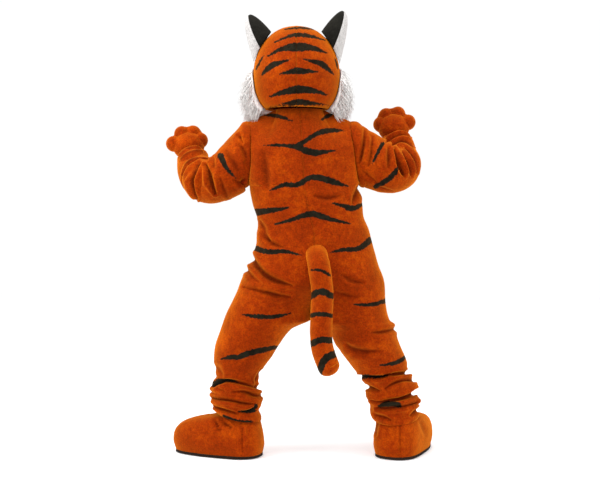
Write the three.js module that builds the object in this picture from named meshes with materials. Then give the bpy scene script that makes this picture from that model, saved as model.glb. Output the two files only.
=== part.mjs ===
// Tiger mascot costume: a one-piece plush suit, two mitts, two boots, a stuffed tail and a two-part head.
// Millimetres, +Z up, the wearer faces -Y and the wearer's left is +X. Heights are given above the floor
// and the whole costume is lowered at the end so that the origin is the middle of the shoulder line.
import * as THREE from "three";

// ---- driving dimensions -------------------------------------------------------------------------------
const SHOULDER_HEIGHT = 1400; // floor to the shoulder tips, where the wearer carries the suit
const SEAM_GAP = 0.3; // between two pieces that are sewn together
const PLUSH = 3; // backing and pile of the suit's plush
const MITT_WALL = 4;
const BOOT_WALL = 8; // plush over foam
const HEAD_WALL = 12; // plush over a foam shell
const CROTCH_HEIGHT = 575;
const BLEND_TOP = 745; // where the seat begins to part into two legs
const ARMHOLE = { height: 270, depth: 168, middle: 1265 }; // tall oval from shoulder tip to underarm
const NECK = { wide: 96, back: 74, front: 70, rise: 46, dip: 30 }; // half-width, reaches and rise above the tips
const HEM_TILT = 0.19; // rise of the leg's hem over the instep, for each millimetre towards the toes
const TILT_TOP = 300; // height from which the leg's rows begin to tilt
const SHOULDER_FADE = 120; // how far below the tips the neck and shoulder cut bends the panels
const TAIL_RADIUS = 44;
const TAIL_OFF_SEAT = 6;
const TAIL_TIP = { from: 0.35, neck: 0.12, share: 0.72 }; // where the tip rounds off, in rows of the table
const SOLE = 14;

// The torso, a row per height: lean is the middle line's x, wide the half-width, back and front the reach.
const TORSO = [
  { z: 1400, lean: 2, wide: 207, back: 92, front: 84 },
  { z: 1360, lean: -2, wide: 206, back: 118, front: 100 },
  { z: 1300, lean: -8, wide: 208, back: 136, front: 116 },
  { z: 1220, lean: -13, wide: 213, back: 143, front: 128 },
  { z: 1130, lean: -17, wide: 226, back: 142, front: 136 },
  { z: 1054, lean: -31, wide: 227, back: 138, front: 140 },
  { z: 1000, lean: -43, wide: 221, back: 137, front: 142 },
  { z: 955, lean: -55, wide: 228, back: 138, front: 144 },
  { z: 900, lean: -59, wide: 239, back: 145, front: 147 },
  { z: 855, lean: -60, wide: 251, back: 152, front: 148 },
  { z: 800, lean: -58, wide: 269, back: 158, front: 147 },
  { z: 745, lean: -52, wide: 296, back: 160, front: 145 },
  { z: 650, lean: -47, wide: 318, back: 156, front: 140 },
  { z: 575, lean: -45, wide: 338, back: 150, front: 136 },
];

// Each leg, a row per height: inner and outer edge, y of the middle, reach to the back and to the front.
// The rows below 360 are the rolls that the gathered shin makes.
const LEGS = {
  left: [
    { z: 745, inner: -52, outer: 248, y: 4, back: 140, front: 132 },
    { z: 690, inner: -50, outer: 274, y: 2, back: 140, front: 132 },
    { z: 640, inner: -47, outer: 295, y: 0, back: 138, front: 130 },
    { z: 575, inner: -45, outer: 318, y: -4, back: 130, front: 124 },
    { z: 556, inner: -4, outer: 325, y: -5, back: 126, front: 122 },
    { z: 535, inner: 36, outer: 332, y: -6, back: 124, front: 120 },
    { z: 473, inner: 84, outer: 353, y: -10, back: 118, front: 118 },
    { z: 420, inner: 116, outer: 360, y: -14, back: 106, front: 112 },
    { z: 390, inner: 138, outer: 357, y: -16, back: 100, front: 104 },
    { z: 352, inner: 166, outer: 353, y: -18, back: 92, front: 96 },
    { z: 328, inner: 172, outer: 349, y: -20, back: 84, front: 88 },
    { z: 306, inner: 177, outer: 366, y: -20, back: 92, front: 94 },
    { z: 284, inner: 174, outer: 375, y: -21, back: 96, front: 97 },
    { z: 265, inner: 165, outer: 367, y: -22, back: 90, front: 92 },
    { z: 245, inner: 158, outer: 377, y: -22, back: 98, front: 100 },
    { z: 222, inner: 163, outer: 373, y: -23, back: 96, front: 98 },
    { z: 206, inner: 172, outer: 363, y: -24, back: 90, front: 92 },
    { z: 190, inner: 164, outer: 366, y: -24, back: 95, front: 96 },
    { z: 173, inner: 155, outer: 365, y: -23, back: 104, front: 100 },
  ],
  right: [
    { z: 745, inner: -52, outer: -336, y: 4, back: 140, front: 132 },
    { z: 690, inner: -50, outer: -343, y: 2, back: 140, front: 132 },
    { z: 640, inner: -47, outer: -353, y: 0, back: 138, front: 130 },
    { z: 575, inner: -45, outer: -373, y: -2, back: 130, front: 124 },
    { z: 556, inner: -84, outer: -391, y: -2, back: 127, front: 122 },
    { z: 535, inner: -118, outer: -396, y: -2, back: 124, front: 120 },
    { z: 473, inner: -146, outer: -416, y: -4, back: 118, front: 118 },
    { z: 420, inner: -187, outer: -439, y: -8, back: 108, front: 112 },
    { z: 390, inner: -207, outer: -449, y: -10, back: 102, front: 104 },
    { z: 357, inner: -233, outer: -446, y: -12, back: 90, front: 94 },
    { z: 328, inner: -258, outer: -470, y: -14, back: 95, front: 96 },
    { z: 300, inner: -281, outer: -492, y: -15, back: 97, front: 98 },
    { z: 272, inner: -278, outer: -482, y: -16, back: 90, front: 92 },
    { z: 254, inner: -275, outer: -477, y: -17, back: 88, front: 90 },
    { z: 232, inner: -289, outer: -503, y: -18, back: 98, front: 99 },
    { z: 212, inner: -294, outer: -494, y: -18, back: 92, front: 94 },
    { z: 191, inner: -294, outer: -496, y: -20, back: 94, front: 95 },
    { z: 179, inner: -303, outer: -496, y: -20, back: 94, front: 93 },
    { z: 166, inner: -302, outer: -504, y: -19, back: 102, front: 98 },
  ],
};

// Each sleeve, a row per ring from the armhole to the wrist: middle, radius upright and across.
const SLEEVES = {
  left: [
    { x: 205, y: 0, z: 1265, high: 135, across: 84 },
    { x: 248, y: -2, z: 1236, high: 115, across: 90 },
    { x: 292, y: -6, z: 1188, high: 101, across: 94 },
    { x: 337, y: -14, z: 1160, high: 95, across: 92 },
    { x: 378, y: -34, z: 1152, high: 94, across: 90 },
    { x: 411, y: -66, z: 1163, high: 88, across: 84 },
    { x: 435, y: -104, z: 1187, high: 79, across: 78 },
    { x: 453, y: -146, z: 1218, high: 72, across: 72 },
    { x: 464, y: -186, z: 1252, high: 66, across: 68 },
  ],
  right: [
    { x: -228, y: 0, z: 1265, high: 135, across: 84 },
    { x: -270, y: -2, z: 1248, high: 115, across: 90 },
    { x: -312, y: -6, z: 1224, high: 108, across: 94 },
    { x: -354, y: -14, z: 1205, high: 102, across: 94 },
    { x: -392, y: -36, z: 1200, high: 96, across: 92 },
    { x: -418, y: -70, z: 1213, high: 90, across: 86 },
    { x: -425, y: -108, z: 1247, high: 80, across: 80 },
    { x: -421, y: -144, z: 1288, high: 72, across: 72 },
    { x: -418, y: -176, z: 1330, high: 65, across: 66 },
  ],
};

// Each mitt: palm middle, and the ways the fingers and the little finger's side point.
const MITTS = {
  left: { palm: [486, -226, 1312], fingers: [0.16, -0.36, 0.92], side: [0.98, 0.1, -0.13] },
  right: { palm: [-407, -208, 1390], fingers: [0.06, -0.34, 0.94], side: [-0.98, 0.05, 0.1] },
};
const PALM = { long: 62, wide: 68, thick: 52 }; // half-sizes of a padded hand
const FINGERS = [
  { turn: -68, reach: 60, radius: 31 },
  { turn: -24, reach: 66, radius: 33 },
  { turn: 20, reach: 67, radius: 33 },
  { turn: 72, reach: 67, radius: 33 },
];
const WRIST = { radius: 59, share: 0.18, inside: 16, reach: 30, lean: 140 }; // the mitt's cuff, tucked into the sleeve

// The boots: ankle middle on the floor and the way the toes point, degrees from -Y towards the outer side.
const BOOTS = {
  left: { x: 258, y: -22, turn: 72 },
  right: { x: -411, y: -18, turn: 28 },
};
// Rings of a boot, from the sole up: reach behind and before the ankle's middle, half-width.
const BOOT_RINGS = [
  { z: 14.3, heel: 100, toe: 284, wide: 90 },
  { z: 48, heel: 106, toe: 294, wide: 97 },
  { z: 88, heel: 103, toe: 290, wide: 96 },
  { z: 116, heel: 98, toe: 272, wide: 93 },
  { z: 138, heel: 93, toe: 240, wide: 88 },
  { z: 154, heel: 86, toe: 190, wide: 82 },
  { z: 165, heel: 80, toe: 136, wide: 76 },
  { z: 174, heel: 76, toe: 84, wide: 71 },
];

// The tail's middle line, root to tip.
const TAIL = [
  { x: -66, y: 164, z: 852 },
  { x: -72, y: 208, z: 828 },
  { x: -80, y: 228, z: 776 },
  { x: -88, y: 228, z: 700 },
  { x: -86, y: 228, z: 620 },
  { x: -82, y: 228, z: 540 },
  { x: -89, y: 228, z: 480 },
  { x: -110, y: 228, z: 420 },
  { x: -131, y: 228, z: 378 },
];

// The head, a row per height from the rim to the crown.
const HEAD_X = 14;
const HEAD = [
  { z: 1447, wide: 129, back: 122, front: 116 },
  { z: 1472, wide: 150, back: 146, front: 140 },
  { z: 1510, wide: 167, back: 164, front: 160 },
  { z: 1555, wide: 176, back: 174, front: 170 },
  { z: 1600, wide: 178, back: 176, front: 172 },
  { z: 1650, wide: 171, back: 168, front: 166 },
  { z: 1700, wide: 151, back: 150, front: 148 },
  { z: 1745, wide: 115, back: 118, front: 114 },
  { z: 1777, wide: 66, back: 70, front: 68 },
  { z: 1793, wide: 0, back: 0, front: 0 },
];

// The ears stand on the sides of the head and face outwards, a little to the front.
const EAR_TIPS = { left: [214, 2, 1836], right: [-182, 2, 1852] };
const EAR = { turn: 84, height: 1712, wide: 112, facing: 72, black: 56, white: 60, rim: 2, clear: 9 };

const PLUSH_ORANGE = 0xd9652b;
const FUR_WHITE = 0xe6e3ea;
const BLACK = 0x191b1a;

// ---- helpers ------------------------------------------------------------------------------------------
const SIDES = { left: 1, right: -1 };
const vector = (x, y, z) => new THREE.Vector3(x, y, z);
const mix = (a, b, share) => a + (b - a) * share;
const clamp01 = (value) => Math.min(1, Math.max(0, value));
const smooth = (value) => clamp01(value) ** 2 * (3 - 2 * clamp01(value));
const steps = (count) => Array.from({ length: count + 1 }, (_, i) => i / count);

// A smooth curve through one column of a table, read at a place along the key column.
function column(rows, key, name, at) {
  const sign = rows[rows.length - 1][key] > rows[0][key] ? 1 : -1;
  let i = 0;
  while (i < rows.length - 2 && sign * (at - rows[i + 1][key]) > 0) i += 1;
  const slope = (j) => {
    const a = rows[Math.max(0, j - 1)];
    const b = rows[Math.min(rows.length - 1, j + 1)];
    return (b[name] - a[name]) / (b[key] - a[key]);
  };
  const step = rows[i + 1][key] - rows[i][key];
  const s = (at - rows[i][key]) / step;
  const bend = (s * s * s - 2 * s * s + s) * slope(i) + (s * s * s - s * s) * slope(i + 1);
  return mix(rows[i][name], rows[i + 1][name], s * s * (3 - 2 * s)) + bend * step;
}

// The outward normal of a surface point(u, v), by small steps; flip says which way is out.
function normalOf(point, u, v, flip) {
  const STEP = 1e-3;
  const [u0, u1] = [Math.max(0, u - STEP), Math.min(1, u + STEP)];
  const [v0, v1] = [Math.max(0, v - STEP), Math.min(1, v + STEP)];
  const along = point(u1, v).sub(point(u0, v));
  const down = point(u, v1).sub(point(u, v0));
  return along.cross(down).normalize().multiplyScalar(flip);
}

// A closed mesh from quads of points: equal points are joined and empty triangles left out.
function meshOf(name, quads, colour, roughness) {
  const corners = [];
  const seen = new Map();
  const faces = [];
  const indexOf = (p) => {
    const key = [p.x, p.y, p.z].map((value) => Math.round(value * 500)).join(" ");
    if (!seen.has(key)) {
      seen.set(key, corners.length / 3);
      corners.push(p.x, p.y, p.z);
    }
    return seen.get(key);
  };
  const triangle = (a, b, c) => {
    if (a !== b && b !== c && a !== c) faces.push(a, b, c);
  };
  for (const quad of quads) {
    const [a, b, c, d] = quad.map(indexOf);
    triangle(a, b, c);
    triangle(a, c, d);
  }
  const geometry = new THREE.BufferGeometry();
  geometry.setAttribute("position", new THREE.Float32BufferAttribute(corners, 3));
  geometry.setIndex(faces);
  const solid = new THREE.Mesh(
    geometry,
    new THREE.MeshStandardMaterial({ color: colour, roughness, metalness: 0 }),
  );
  solid.name = name;
  return solid;
}

// The quads between two grids of points (rows of columns) that share their edges by rims.
function shellQuads(outer, inner, round) {
  const quads = [];
  const rows = outer.length - 1;
  const columns = outer[0].length - 1;
  for (let i = 0; i < rows; i += 1) {
    for (let j = 0; j < columns; j += 1) {
      quads.push([outer[i][j], outer[i + 1][j], outer[i + 1][j + 1], outer[i][j + 1]]);
      quads.push([inner[i][j], inner[i][j + 1], inner[i + 1][j + 1], inner[i + 1][j]]);
    }
  }
  for (let j = 0; j < columns; j += 1) {
    quads.push([outer[0][j], outer[0][j + 1], inner[0][j + 1], inner[0][j]]);
    quads.push([outer[rows][j + 1], outer[rows][j], inner[rows][j], inner[rows][j + 1]]);
  }
  for (let i = 0; i < rows && !round; i += 1) {
    quads.push([outer[i + 1][0], outer[i][0], inner[i][0], inner[i + 1][0]]);
    quads.push([outer[i][columns], outer[i + 1][columns], inner[i + 1][columns], inner[i][columns]]);
  }
  return quads;
}

// A wall under a surface point(u, v): the outer face is the surface and the inner face lies a wall deeper.
// settle(u, v, normal) turns the normals along a seam, so that both pieces end in the same plane.
function wall(name, point, us, vs, { thick, flip, colour, round = false, settle = (u, v, n) => n }) {
  const grid = (depth) =>
    vs.map((v) =>
      us.map((u) => point(u, v).addScaledVector(settle(u, v, normalOf(point, u, v, flip)), -depth)),
    );
  const [outer, inner] = [grid(0), grid(thick)];
  if (round) [outer, inner].forEach((rows) => rows.forEach((row) => (row[row.length - 1] = row[0])));
  const quads = shellQuads(outer, inner, round);
  return meshOf(name, flip > 0 ? quads.map((quad) => quad.reverse()) : quads, colour, 0.95);
}

// ---- suit panels --------------------------------------------------------------------------------------
// The neck line from the middle to its side, then the shoulder seam out to the tip.
function shoulderCut(side, face, t) {
  const tip = bodyRow(SHOULDER_HEIGHT);
  const reach = face > 0 ? NECK.back : -NECK.front;
  const high = SHOULDER_HEIGHT + NECK.rise;
  if (t < 0.5) {
    const turn = t * Math.PI;
    const middle = high - (face > 0 ? 0 : NECK.dip);
    return vector(
      tip.lean + side * NECK.wide * Math.sin(turn),
      reach * Math.cos(turn),
      mix(high, middle, Math.cos(turn) ** 2),
    );
  }
  const share = 2 * t - 1;
  const neckSide = vector(tip.lean + side * NECK.wide, 0, high);
  return neckSide.lerp(vector(tip.lean + side * tip.wide, 0, SHOULDER_HEIGHT), share);
}

function bodyRow(z) {
  const row = { lean: 0, wide: 0, back: 0, front: 0 };
  for (const name of Object.keys(row)) row[name] = column(TORSO, "z", name, z);
  return row;
}

// Half the armhole's depth at a height: nothing at the shoulder tip and from the underarm down.
function armholeDepth(z) {
  const share = (z - ARMHOLE.middle) / (ARMHOLE.height / 2);
  return Math.abs(share) < 1 ? (ARMHOLE.depth / 2) * Math.sqrt(1 - share * share) : 0;
}

// The armhole's outward direction in its own plane, at a turn from the shoulder tip by the back.
function armholeNormal(turn) {
  return vector(0, Math.sin(turn) / ARMHOLE.depth, Math.cos(turn) / ARMHOLE.height).normalize();
}

// A point of the suit: side left or right, face +1 back or -1 front, t from the middle seam or inseam (0)
// to the armhole, side seam or outseam (1), z the height.
function suitPoint(sideName, face, t, z) {
  const side = SIDES[sideName];
  const torsoPart = (height) => {
    const row = bodyRow(height);
    const edge = face * armholeDepth(height);
    const middle = face > 0 ? row.back : -row.front;
    return vector(
      row.lean + side * row.wide * Math.sin((t * Math.PI) / 2),
      middle * Math.cos((t * Math.PI) / 2) ** 0.8 + edge * t ** 3,
      height,
    );
  };
  const legs = LEGS[sideName];
  const legPart = () => {
    const inner = z < CROTCH_HEIGHT ? column(legs, "z", "inner", z) : bodyRow(z).lean;
    const outer = column(legs, "z", "outer", z);
    const reach = column(legs, "z", face > 0 ? "back" : "front", z);
    const turn = t * Math.PI;
    const aim = THREE.MathUtils.degToRad(BOOTS[sideName].turn);
    const [across, along] = [(outer - inner) * (-Math.cos(turn) / 2), face * reach * Math.sin(turn)];
    const towardsToes = across * side * Math.sin(aim) - along * Math.cos(aim);
    return vector(
      (inner + outer) / 2 + across,
      column(legs, "z", "y", z) + along,
      z + HEM_TILT * towardsToes * smooth((TILT_TOP - z) / (TILT_TOP - legs[legs.length - 1].z)),
    );
  };
  let place;
  if (z > BLEND_TOP) place = torsoPart(z);
  else if (z < CROTCH_HEIGHT) place = legPart();
  else place = torsoPart(z).lerp(legPart(), smooth((BLEND_TOP - z) / (BLEND_TOP - CROTCH_HEIGHT)));
  const pull = smooth((z - SHOULDER_HEIGHT + SHOULDER_FADE) / SHOULDER_FADE);
  if (pull > 0) {
    const moved = shoulderCut(side, face, t).sub(torsoPart(SHOULDER_HEIGHT));
    place.addScaledVector(moved, pull);
  }
  place.x += (side * SEAM_GAP) / 2;
  return place;
}

// Heights of the panel rows: eight steps down the armhole, then the torso, the seat and the leg.
const ARMHOLE_ROWS = steps(8).map((s) => ARMHOLE.middle + (ARMHOLE.height / 2) * Math.cos(s * Math.PI));
const TORSO_ROWS = [1085, 1040, 1000, 955, 905, 855, 800, 745, 695, 645, 605, 575];
const heightsOf = (sideName) => [
  ...ARMHOLE_ROWS,
  ...TORSO_ROWS,
  ...LEGS[sideName].filter((row) => row.z < CROTCH_HEIGHT).map((row) => row.z),
];
const PANEL_COLUMNS = 7;

function suitPanel(sideName, faceName) {
  const face = faceName === "back" ? 1 : -1;
  const heights = heightsOf(sideName);
  const edge = 0.0002; // a panel stops short of its side seam by this share of its width
  const lowest = heights[heights.length - 1];
  const height = (v) => mix(SHOULDER_HEIGHT, lowest, v);
  const point = (u, v) => suitPoint(sideName, face, mix(edge, 1 - edge, u), height(v));
  const vs = heights.map((z) => (SHOULDER_HEIGHT - z) / (SHOULDER_HEIGHT - lowest));
  const underarm = ARMHOLE.middle - ARMHOLE.height / 2;
  const settle = (u, v, normal) => {
    const rise = (height(v) - ARMHOLE.middle) / (ARMHOLE.height / 2);
    if (u === 1 && height(v) > underarm - 1) return armholeNormal(face * Math.acos(Math.max(-1, rise)));
    if (v === 0 && u >= 0.5) return normal.setY(0).normalize();
    if (u === 0 && height(v) > BLEND_TOP) return normal.setX(0).normalize();
    return normal;
  };
  return wall(`${faceName}_${sideName}`, point, steps(PANEL_COLUMNS - 1), vs, {
    thick: PLUSH,
    flip: SIDES[sideName] * face,
    colour: PLUSH_ORANGE,
    settle,
  });
}

// ---- sleeves ------------------------------------------------------------------------------------------
const RING_COLUMNS = 16;
const SEWN = { rings: 1.6, out: 46, drop: 18 }; // how far from the armhole its oval shapes the sleeve

// A ring of a sleeve: upright and across directions square to the way the sleeve runs.
function sleeveFrame(rows, at, side) {
  const place = (s) => {
    const spot = Math.min(rows.length - 1, Math.max(0, s));
    const read = (name) => column(rows, "row", name, spot);
    return vector(read("x"), read("y"), read("z"));
  };
  const run = place(at + 0.5).sub(place(at - 0.5)).normalize();
  run.lerp(vector(side, 0, 0), 1 - smooth(at / 3)).normalize(); // it leaves the armhole sideways
  const back = vector(0, 1, 0).addScaledVector(run, -run.y).normalize();
  const up = vector(0, 0, 0).crossVectors(run, back);
  if (up.dot(vector(run.z, 0, Math.abs(run.x))) < 0) up.negate();
  return { middle: place(at), run, back, up };
}

// A point of a sleeve: u once round from the top by the back, at the place along its rings.
function sleevePoint(sideName, u, at) {
  const side = SIDES[sideName];
  const rows = SLEEVES[sideName].map((row, i) => ({ ...row, row: i }));
  const turn = u * 2 * Math.PI;
  const { middle, back, up } = sleeveFrame(rows, at, side);
  const free = middle
    .addScaledVector(up, column(rows, "row", "high", at) * Math.cos(turn))
    .addScaledVector(back, column(rows, "row", "across", at) * Math.sin(turn));
  const hold = 1 - smooth(at / SEWN.rings);
  if (hold === 0) return free;
  const height = ARMHOLE.middle + (ARMHOLE.height / 2) * Math.cos(turn);
  const sewn = suitPoint(sideName, u <= 0.5 ? 1 : -1, 1, height);
  sewn.x += side * (1.2 * SEAM_GAP + SEWN.out * at);
  sewn.z -= SEWN.drop * at;
  return free.lerp(sewn, hold);
}

function sleeve(sideName) {
  const last = SLEEVES[sideName].length - 1;
  const point = (u, v) => sleevePoint(sideName, u, v * last);
  const settle = (u, v, normal) => (v === 0 ? armholeNormal(u * 2 * Math.PI) : normal);
  return wall(`sleeve_${sideName}`, point, steps(RING_COLUMNS), steps(12), {
    thick: PLUSH,
    flip: -SIDES[sideName],
    colour: PLUSH_ORANGE,
    round: true,
    settle,
  });
}

// ---- mitts --------------------------------------------------------------------------------------------
// How far a ray from the palm's middle runs before it leaves the ball at place with this radius.
function rayOut(ray, place, radius) {
  const along = ray.dot(place);
  const rest = along * along - place.lengthSq() + radius * radius;
  return rest > 0 ? along + Math.sqrt(rest) : 0;
}

// The mitt in its own frame: x across, y through its thickness and z towards the fingers.
function mittReach(ray) {
  const palm = 1 / Math.hypot(ray.x / PALM.wide, ray.y / PALM.thick, ray.z / PALM.long);
  const reaches = FINGERS.map(({ turn, reach, radius }) => {
    const angle = THREE.MathUtils.degToRad(turn);
    return rayOut(ray, vector(reach * Math.sin(angle), 0, reach * Math.cos(angle)), radius);
  });
  return [palm, ...reaches].reduce((sum, reach) => sum + reach ** 8, 0) ** (1 / 8);
}

function mitt(sideName) {
  const { palm, fingers, side } = MITTS[sideName];
  const z = vector(...fingers).normalize();
  const x = vector(...side).addScaledVector(z, -vector(...side).dot(z)).normalize();
  const y = vector(0, 0, 0).crossVectors(z, x);
  const rows = SLEEVES[sideName];
  const end = rows[rows.length - 1];
  const run = vector(end.x, end.y, end.z)
    .sub(vector(rows[rows.length - 2].x, rows[rows.length - 2].y, rows[rows.length - 2].z))
    .normalize();
  const wrist = vector(end.x, end.y, end.z).addScaledVector(run, -WRIST.inside);
  const palmShare = 1 - WRIST.share;
  const point = (u, v) => {
    const turn = u * 2 * Math.PI;
    const bow = Math.min(v, palmShare) / palmShare;
    const lean = THREE.MathUtils.degToRad(WRIST.lean * bow);
    const ray = vector(Math.sin(lean) * Math.cos(turn), Math.sin(lean) * Math.sin(turn), Math.cos(lean));
    const local = ray.clone().multiplyScalar(mittReach(ray));
    const hand = vector(...palm)
      .addScaledVector(x, local.x)
      .addScaledVector(y, local.y)
      .addScaledVector(z, local.z);
    const across = x.clone().addScaledVector(run, -x.dot(run)).normalize();
    const through = vector(0, 0, 0).crossVectors(run, across);
    const cuff = wrist
      .clone()
      .addScaledVector(run, (WRIST.reach * (1 - v)) / WRIST.share)
      .addScaledVector(across, WRIST.radius * Math.cos(turn))
      .addScaledVector(through, WRIST.radius * Math.sin(turn));
    return v <= palmShare ? hand : hand.lerp(cuff, smooth((v - palmShare) / WRIST.share));
  };
  const vs = [...steps(7).map((share) => share * palmShare), 1 - WRIST.share / 2, 1];
  return wall(`mitt_${sideName}`, point, steps(20), vs, {
    thick: MITT_WALL,
    flip: -1,
    colour: PLUSH_ORANGE,
    round: true,
    settle: (u, v, normal) => (v === 0 ? z.clone() : normal),
  });
}

// ---- boots --------------------------------------------------------------------------------------------
// A point of a boot's ring, turn 0 at the toe; the ring is in the row's own sizes.
function bootPoint(sideName, ring, turn, height) {
  const { x, y, turn: toes } = BOOTS[sideName];
  const aim = THREE.MathUtils.degToRad(toes);
  const forward = vector(SIDES[sideName] * Math.sin(aim), -Math.cos(aim), 0);
  const sideways = vector(-forward.y, forward.x, 0);
  const long = Math.cos(turn) > 0 ? ring.toe : ring.heel;
  const round = (value) => Math.sign(value) * Math.abs(value) ** 0.86;
  return vector(x, y, height)
    .addScaledVector(forward, long * round(Math.cos(turn)))
    .addScaledVector(sideways, ring.wide * round(Math.sin(turn)));
}

function bootRing(z) {
  const ring = {};
  for (const name of ["heel", "toe", "wide"]) ring[name] = column(BOOT_RINGS, "z", name, z);
  return ring;
}

function boot(sideName) {
  const [low, high] = [BOOT_RINGS[0].z, BOOT_RINGS[BOOT_RINGS.length - 1].z];
  const height = (v) => mix(low, high, v);
  const point = (u, v) => bootPoint(sideName, bootRing(height(v)), u * 2 * Math.PI, height(v));
  const settle = (u, v, normal) => (v === 0 ? normal.setZ(0).normalize() : normal);
  const vs = BOOT_RINGS.map((ring) => (ring.z - low) / (high - low));
  return wall(`boot_${sideName}`, point, steps(18), vs, {
    thick: BOOT_WALL,
    flip: 1,
    colour: PLUSH_ORANGE,
    round: true,
    settle,
  });
}

// A closed solid from rings of points, the first and the last drawn in to a point.
function closedRings(name, rings, colour, roughness) {
  const quads = [];
  for (let i = 0; i < rings.length - 1; i += 1) {
    for (let j = 0; j < rings[i].length; j += 1) {
      const k = (j + 1) % rings[i].length;
      quads.push([rings[i][j], rings[i][k], rings[i + 1][k], rings[i + 1][j]]);
    }
  }
  return meshOf(name, quads, colour, roughness);
}

function sole(sideName) {
  const turns = steps(18).slice(0, -1).map((share) => share * 2 * Math.PI);
  const outline = (height) => turns.map((turn) => bootPoint(sideName, BOOT_RINGS[0], turn, height));
  const middle = (height) => turns.map(() => bootPoint(sideName, { heel: 0, toe: 80, wide: 0 }, 0, height));
  return closedRings(`sole_${sideName}`, [middle(0), outline(0), outline(SOLE), middle(SOLE)], BLACK, 0.8);
}

// ---- tail ---------------------------------------------------------------------------------------------
function tail() {
  const rows = TAIL.map((row, i) => ({ ...row, row: i }));
  const last = rows.length - 1;
  const place = (at) => vector(...["x", "y", "z"].map((name) => column(rows, "row", name, at)));
  const turns = steps(10).slice(0, -1).map((share) => share * 2 * Math.PI);
  const ring = (at, radius) => {
    const run = place(Math.min(last, at + 0.1)).sub(place(Math.max(0, at - 0.1))).normalize();
    const up = vector(0, 0.2, 1).addScaledVector(run, -run.z - 0.2 * run.y).normalize();
    const across = vector(0, 0, 0).crossVectors(run, up);
    return turns.map((turn) =>
      place(at)
        .addScaledVector(across, radius * Math.cos(turn))
        .addScaledVector(up, radius * Math.sin(turn)),
    );
  };
  // The root ring lies just off the seat, on both back panels.
  const seat = (x, z) => {
    const row = bodyRow(z);
    const sideName = x > row.lean ? "left" : "right";
    return suitPoint(sideName, 1, (2 / Math.PI) * Math.asin(Math.abs(x - row.lean) / row.wide), z);
  };
  const root = turns.map((turn) => {
    const [x, z] = [rows[0].x - TAIL_RADIUS * Math.cos(turn), rows[0].z + TAIL_RADIUS * Math.sin(turn)];
    return vector(x, seat(x, z).y + TAIL_OFF_SEAT, z);
  });
  const rootMiddle = root.map(() => vector(rows[0].x, seat(rows[0].x, rows[0].z).y + TAIL_OFF_SEAT, rows[0].z));
  const along = steps(14).slice(1).map((share) => share * (last - TAIL_TIP.from));
  const rings = along.map((at) => ring(at, TAIL_RADIUS));
  rings.push(ring(last - TAIL_TIP.neck, TAIL_RADIUS * TAIL_TIP.share));
  const all = [rootMiddle, root, ...rings, turns.map(() => place(last))];
  return closedRings("tail", all.reverse(), PLUSH_ORANGE, 0.95);
}

// ---- head ---------------------------------------------------------------------------------------------
// A point of the head: turn from the back (0) by the side (90) to the face (180), in degrees, and height.
function headPoint(side, turn, z) {
  const [wide, back, front] = ["wide", "back", "front"].map((name) => column(HEAD, "z", name, z));
  const angle = THREE.MathUtils.degToRad(turn);
  const reach = turn < 90 ? back : front;
  return vector(HEAD_X + side * Math.max(0, wide) * Math.sin(angle), Math.max(0, reach) * Math.cos(angle), z);
}

function headHalf(sideName) {
  const side = SIDES[sideName];
  const [low, high] = [HEAD[0].z, HEAD[HEAD.length - 1].z];
  const point = (u, v) => headPoint(side, 180 * u, mix(low, high, v)).add(vector((side * SEAM_GAP) / 2, 0, 0));
  const settle = (u, v, normal) => {
    if (v === 1) return vector(0, 0, 1);
    return u === 0 || u === 1 ? normal.setX(0).normalize() : normal;
  };
  const vs = HEAD.map((row) => (row.z - low) / (high - low));
  return wall(`head_${sideName}`, point, steps(9), vs, {
    thick: HEAD_WALL,
    flip: -side,
    colour: PLUSH_ORANGE,
    settle,
  });
}

// A padded patch on a surface(a, b): an oval about a middle, its back just off the surface.
function patch(name, surface, { middle, radii, swell, rim = 1.5, lift = 0.4, spokes = 14, colour }) {
  const [a0, b0] = middle;
  const ring = (share, height) =>
    steps(spokes).slice(0, -1).map((s) => {
      const turn = s * 2 * Math.PI;
      const [a, b] = [a0 + radii[0] * share * Math.cos(turn), b0 + radii[1] * share * Math.sin(turn)];
      const STEP = 0.4;
      const along = surface(a + STEP, b).sub(surface(a - STEP, b));
      const up = surface(a, b + STEP).sub(surface(a, b - STEP));
      return surface(a, b).addScaledVector(along.cross(up).normalize(), height);
    });
  const dome = (share) => lift + rim + swell * Math.sqrt(1 - share * share);
  const rings = [0, 0.45, 0.78, 0.95].map((share) => ring(share, dome(share)));
  rings.push(ring(1, lift + rim), ring(1, lift), ring(0.55, lift), ring(0, lift));
  return closedRings(name, rings.reverse(), colour, 0.9);
}

// Places on the face: millimetres across from the middle line towards the wearer's left, and height.
function facePoint(across, z) {
  const wide = column(HEAD, "z", "wide", z);
  const turn = 180 - THREE.MathUtils.radToDeg(Math.asin(Math.min(0.98, Math.abs(across) / wide)));
  return headPoint(Math.sign(across) || 1, turn, z);
}

const MUZZLE = { middle: [0, 1532], radii: [84, 58], swell: 58, lift: 2.5 };
const NOSE = { middle: [0, 1556], radii: [27, 17], swell: 13 };
const EYES = { across: 56, height: 1628, radii: [23, 29], swell: 7 };

// The muzzle's outer face at a place in front of it.
function muzzlePoint(across, z) {
  const share = Math.hypot(across / MUZZLE.radii[0], (z - MUZZLE.middle[1]) / MUZZLE.radii[1]);
  const out = MUZZLE.swell * Math.sqrt(Math.max(0, 1 - share * share));
  return facePoint(across, z).add(vector(0, -out - 4, 0));
}

function face() {
  const eye = (sideName) =>
    patch(`eye_${sideName}`, facePoint, {
      ...EYES,
      middle: [SIDES[sideName] * EYES.across, EYES.height],
      colour: FUR_WHITE,
    });
  return [
    patch("muzzle", facePoint, { ...MUZZLE, spokes: 18, colour: FUR_WHITE }),
    patch("nose", muzzlePoint, { ...NOSE, lift: 2.5, colour: BLACK }),
    eye("left"),
    eye("right"),
  ];
}

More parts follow.
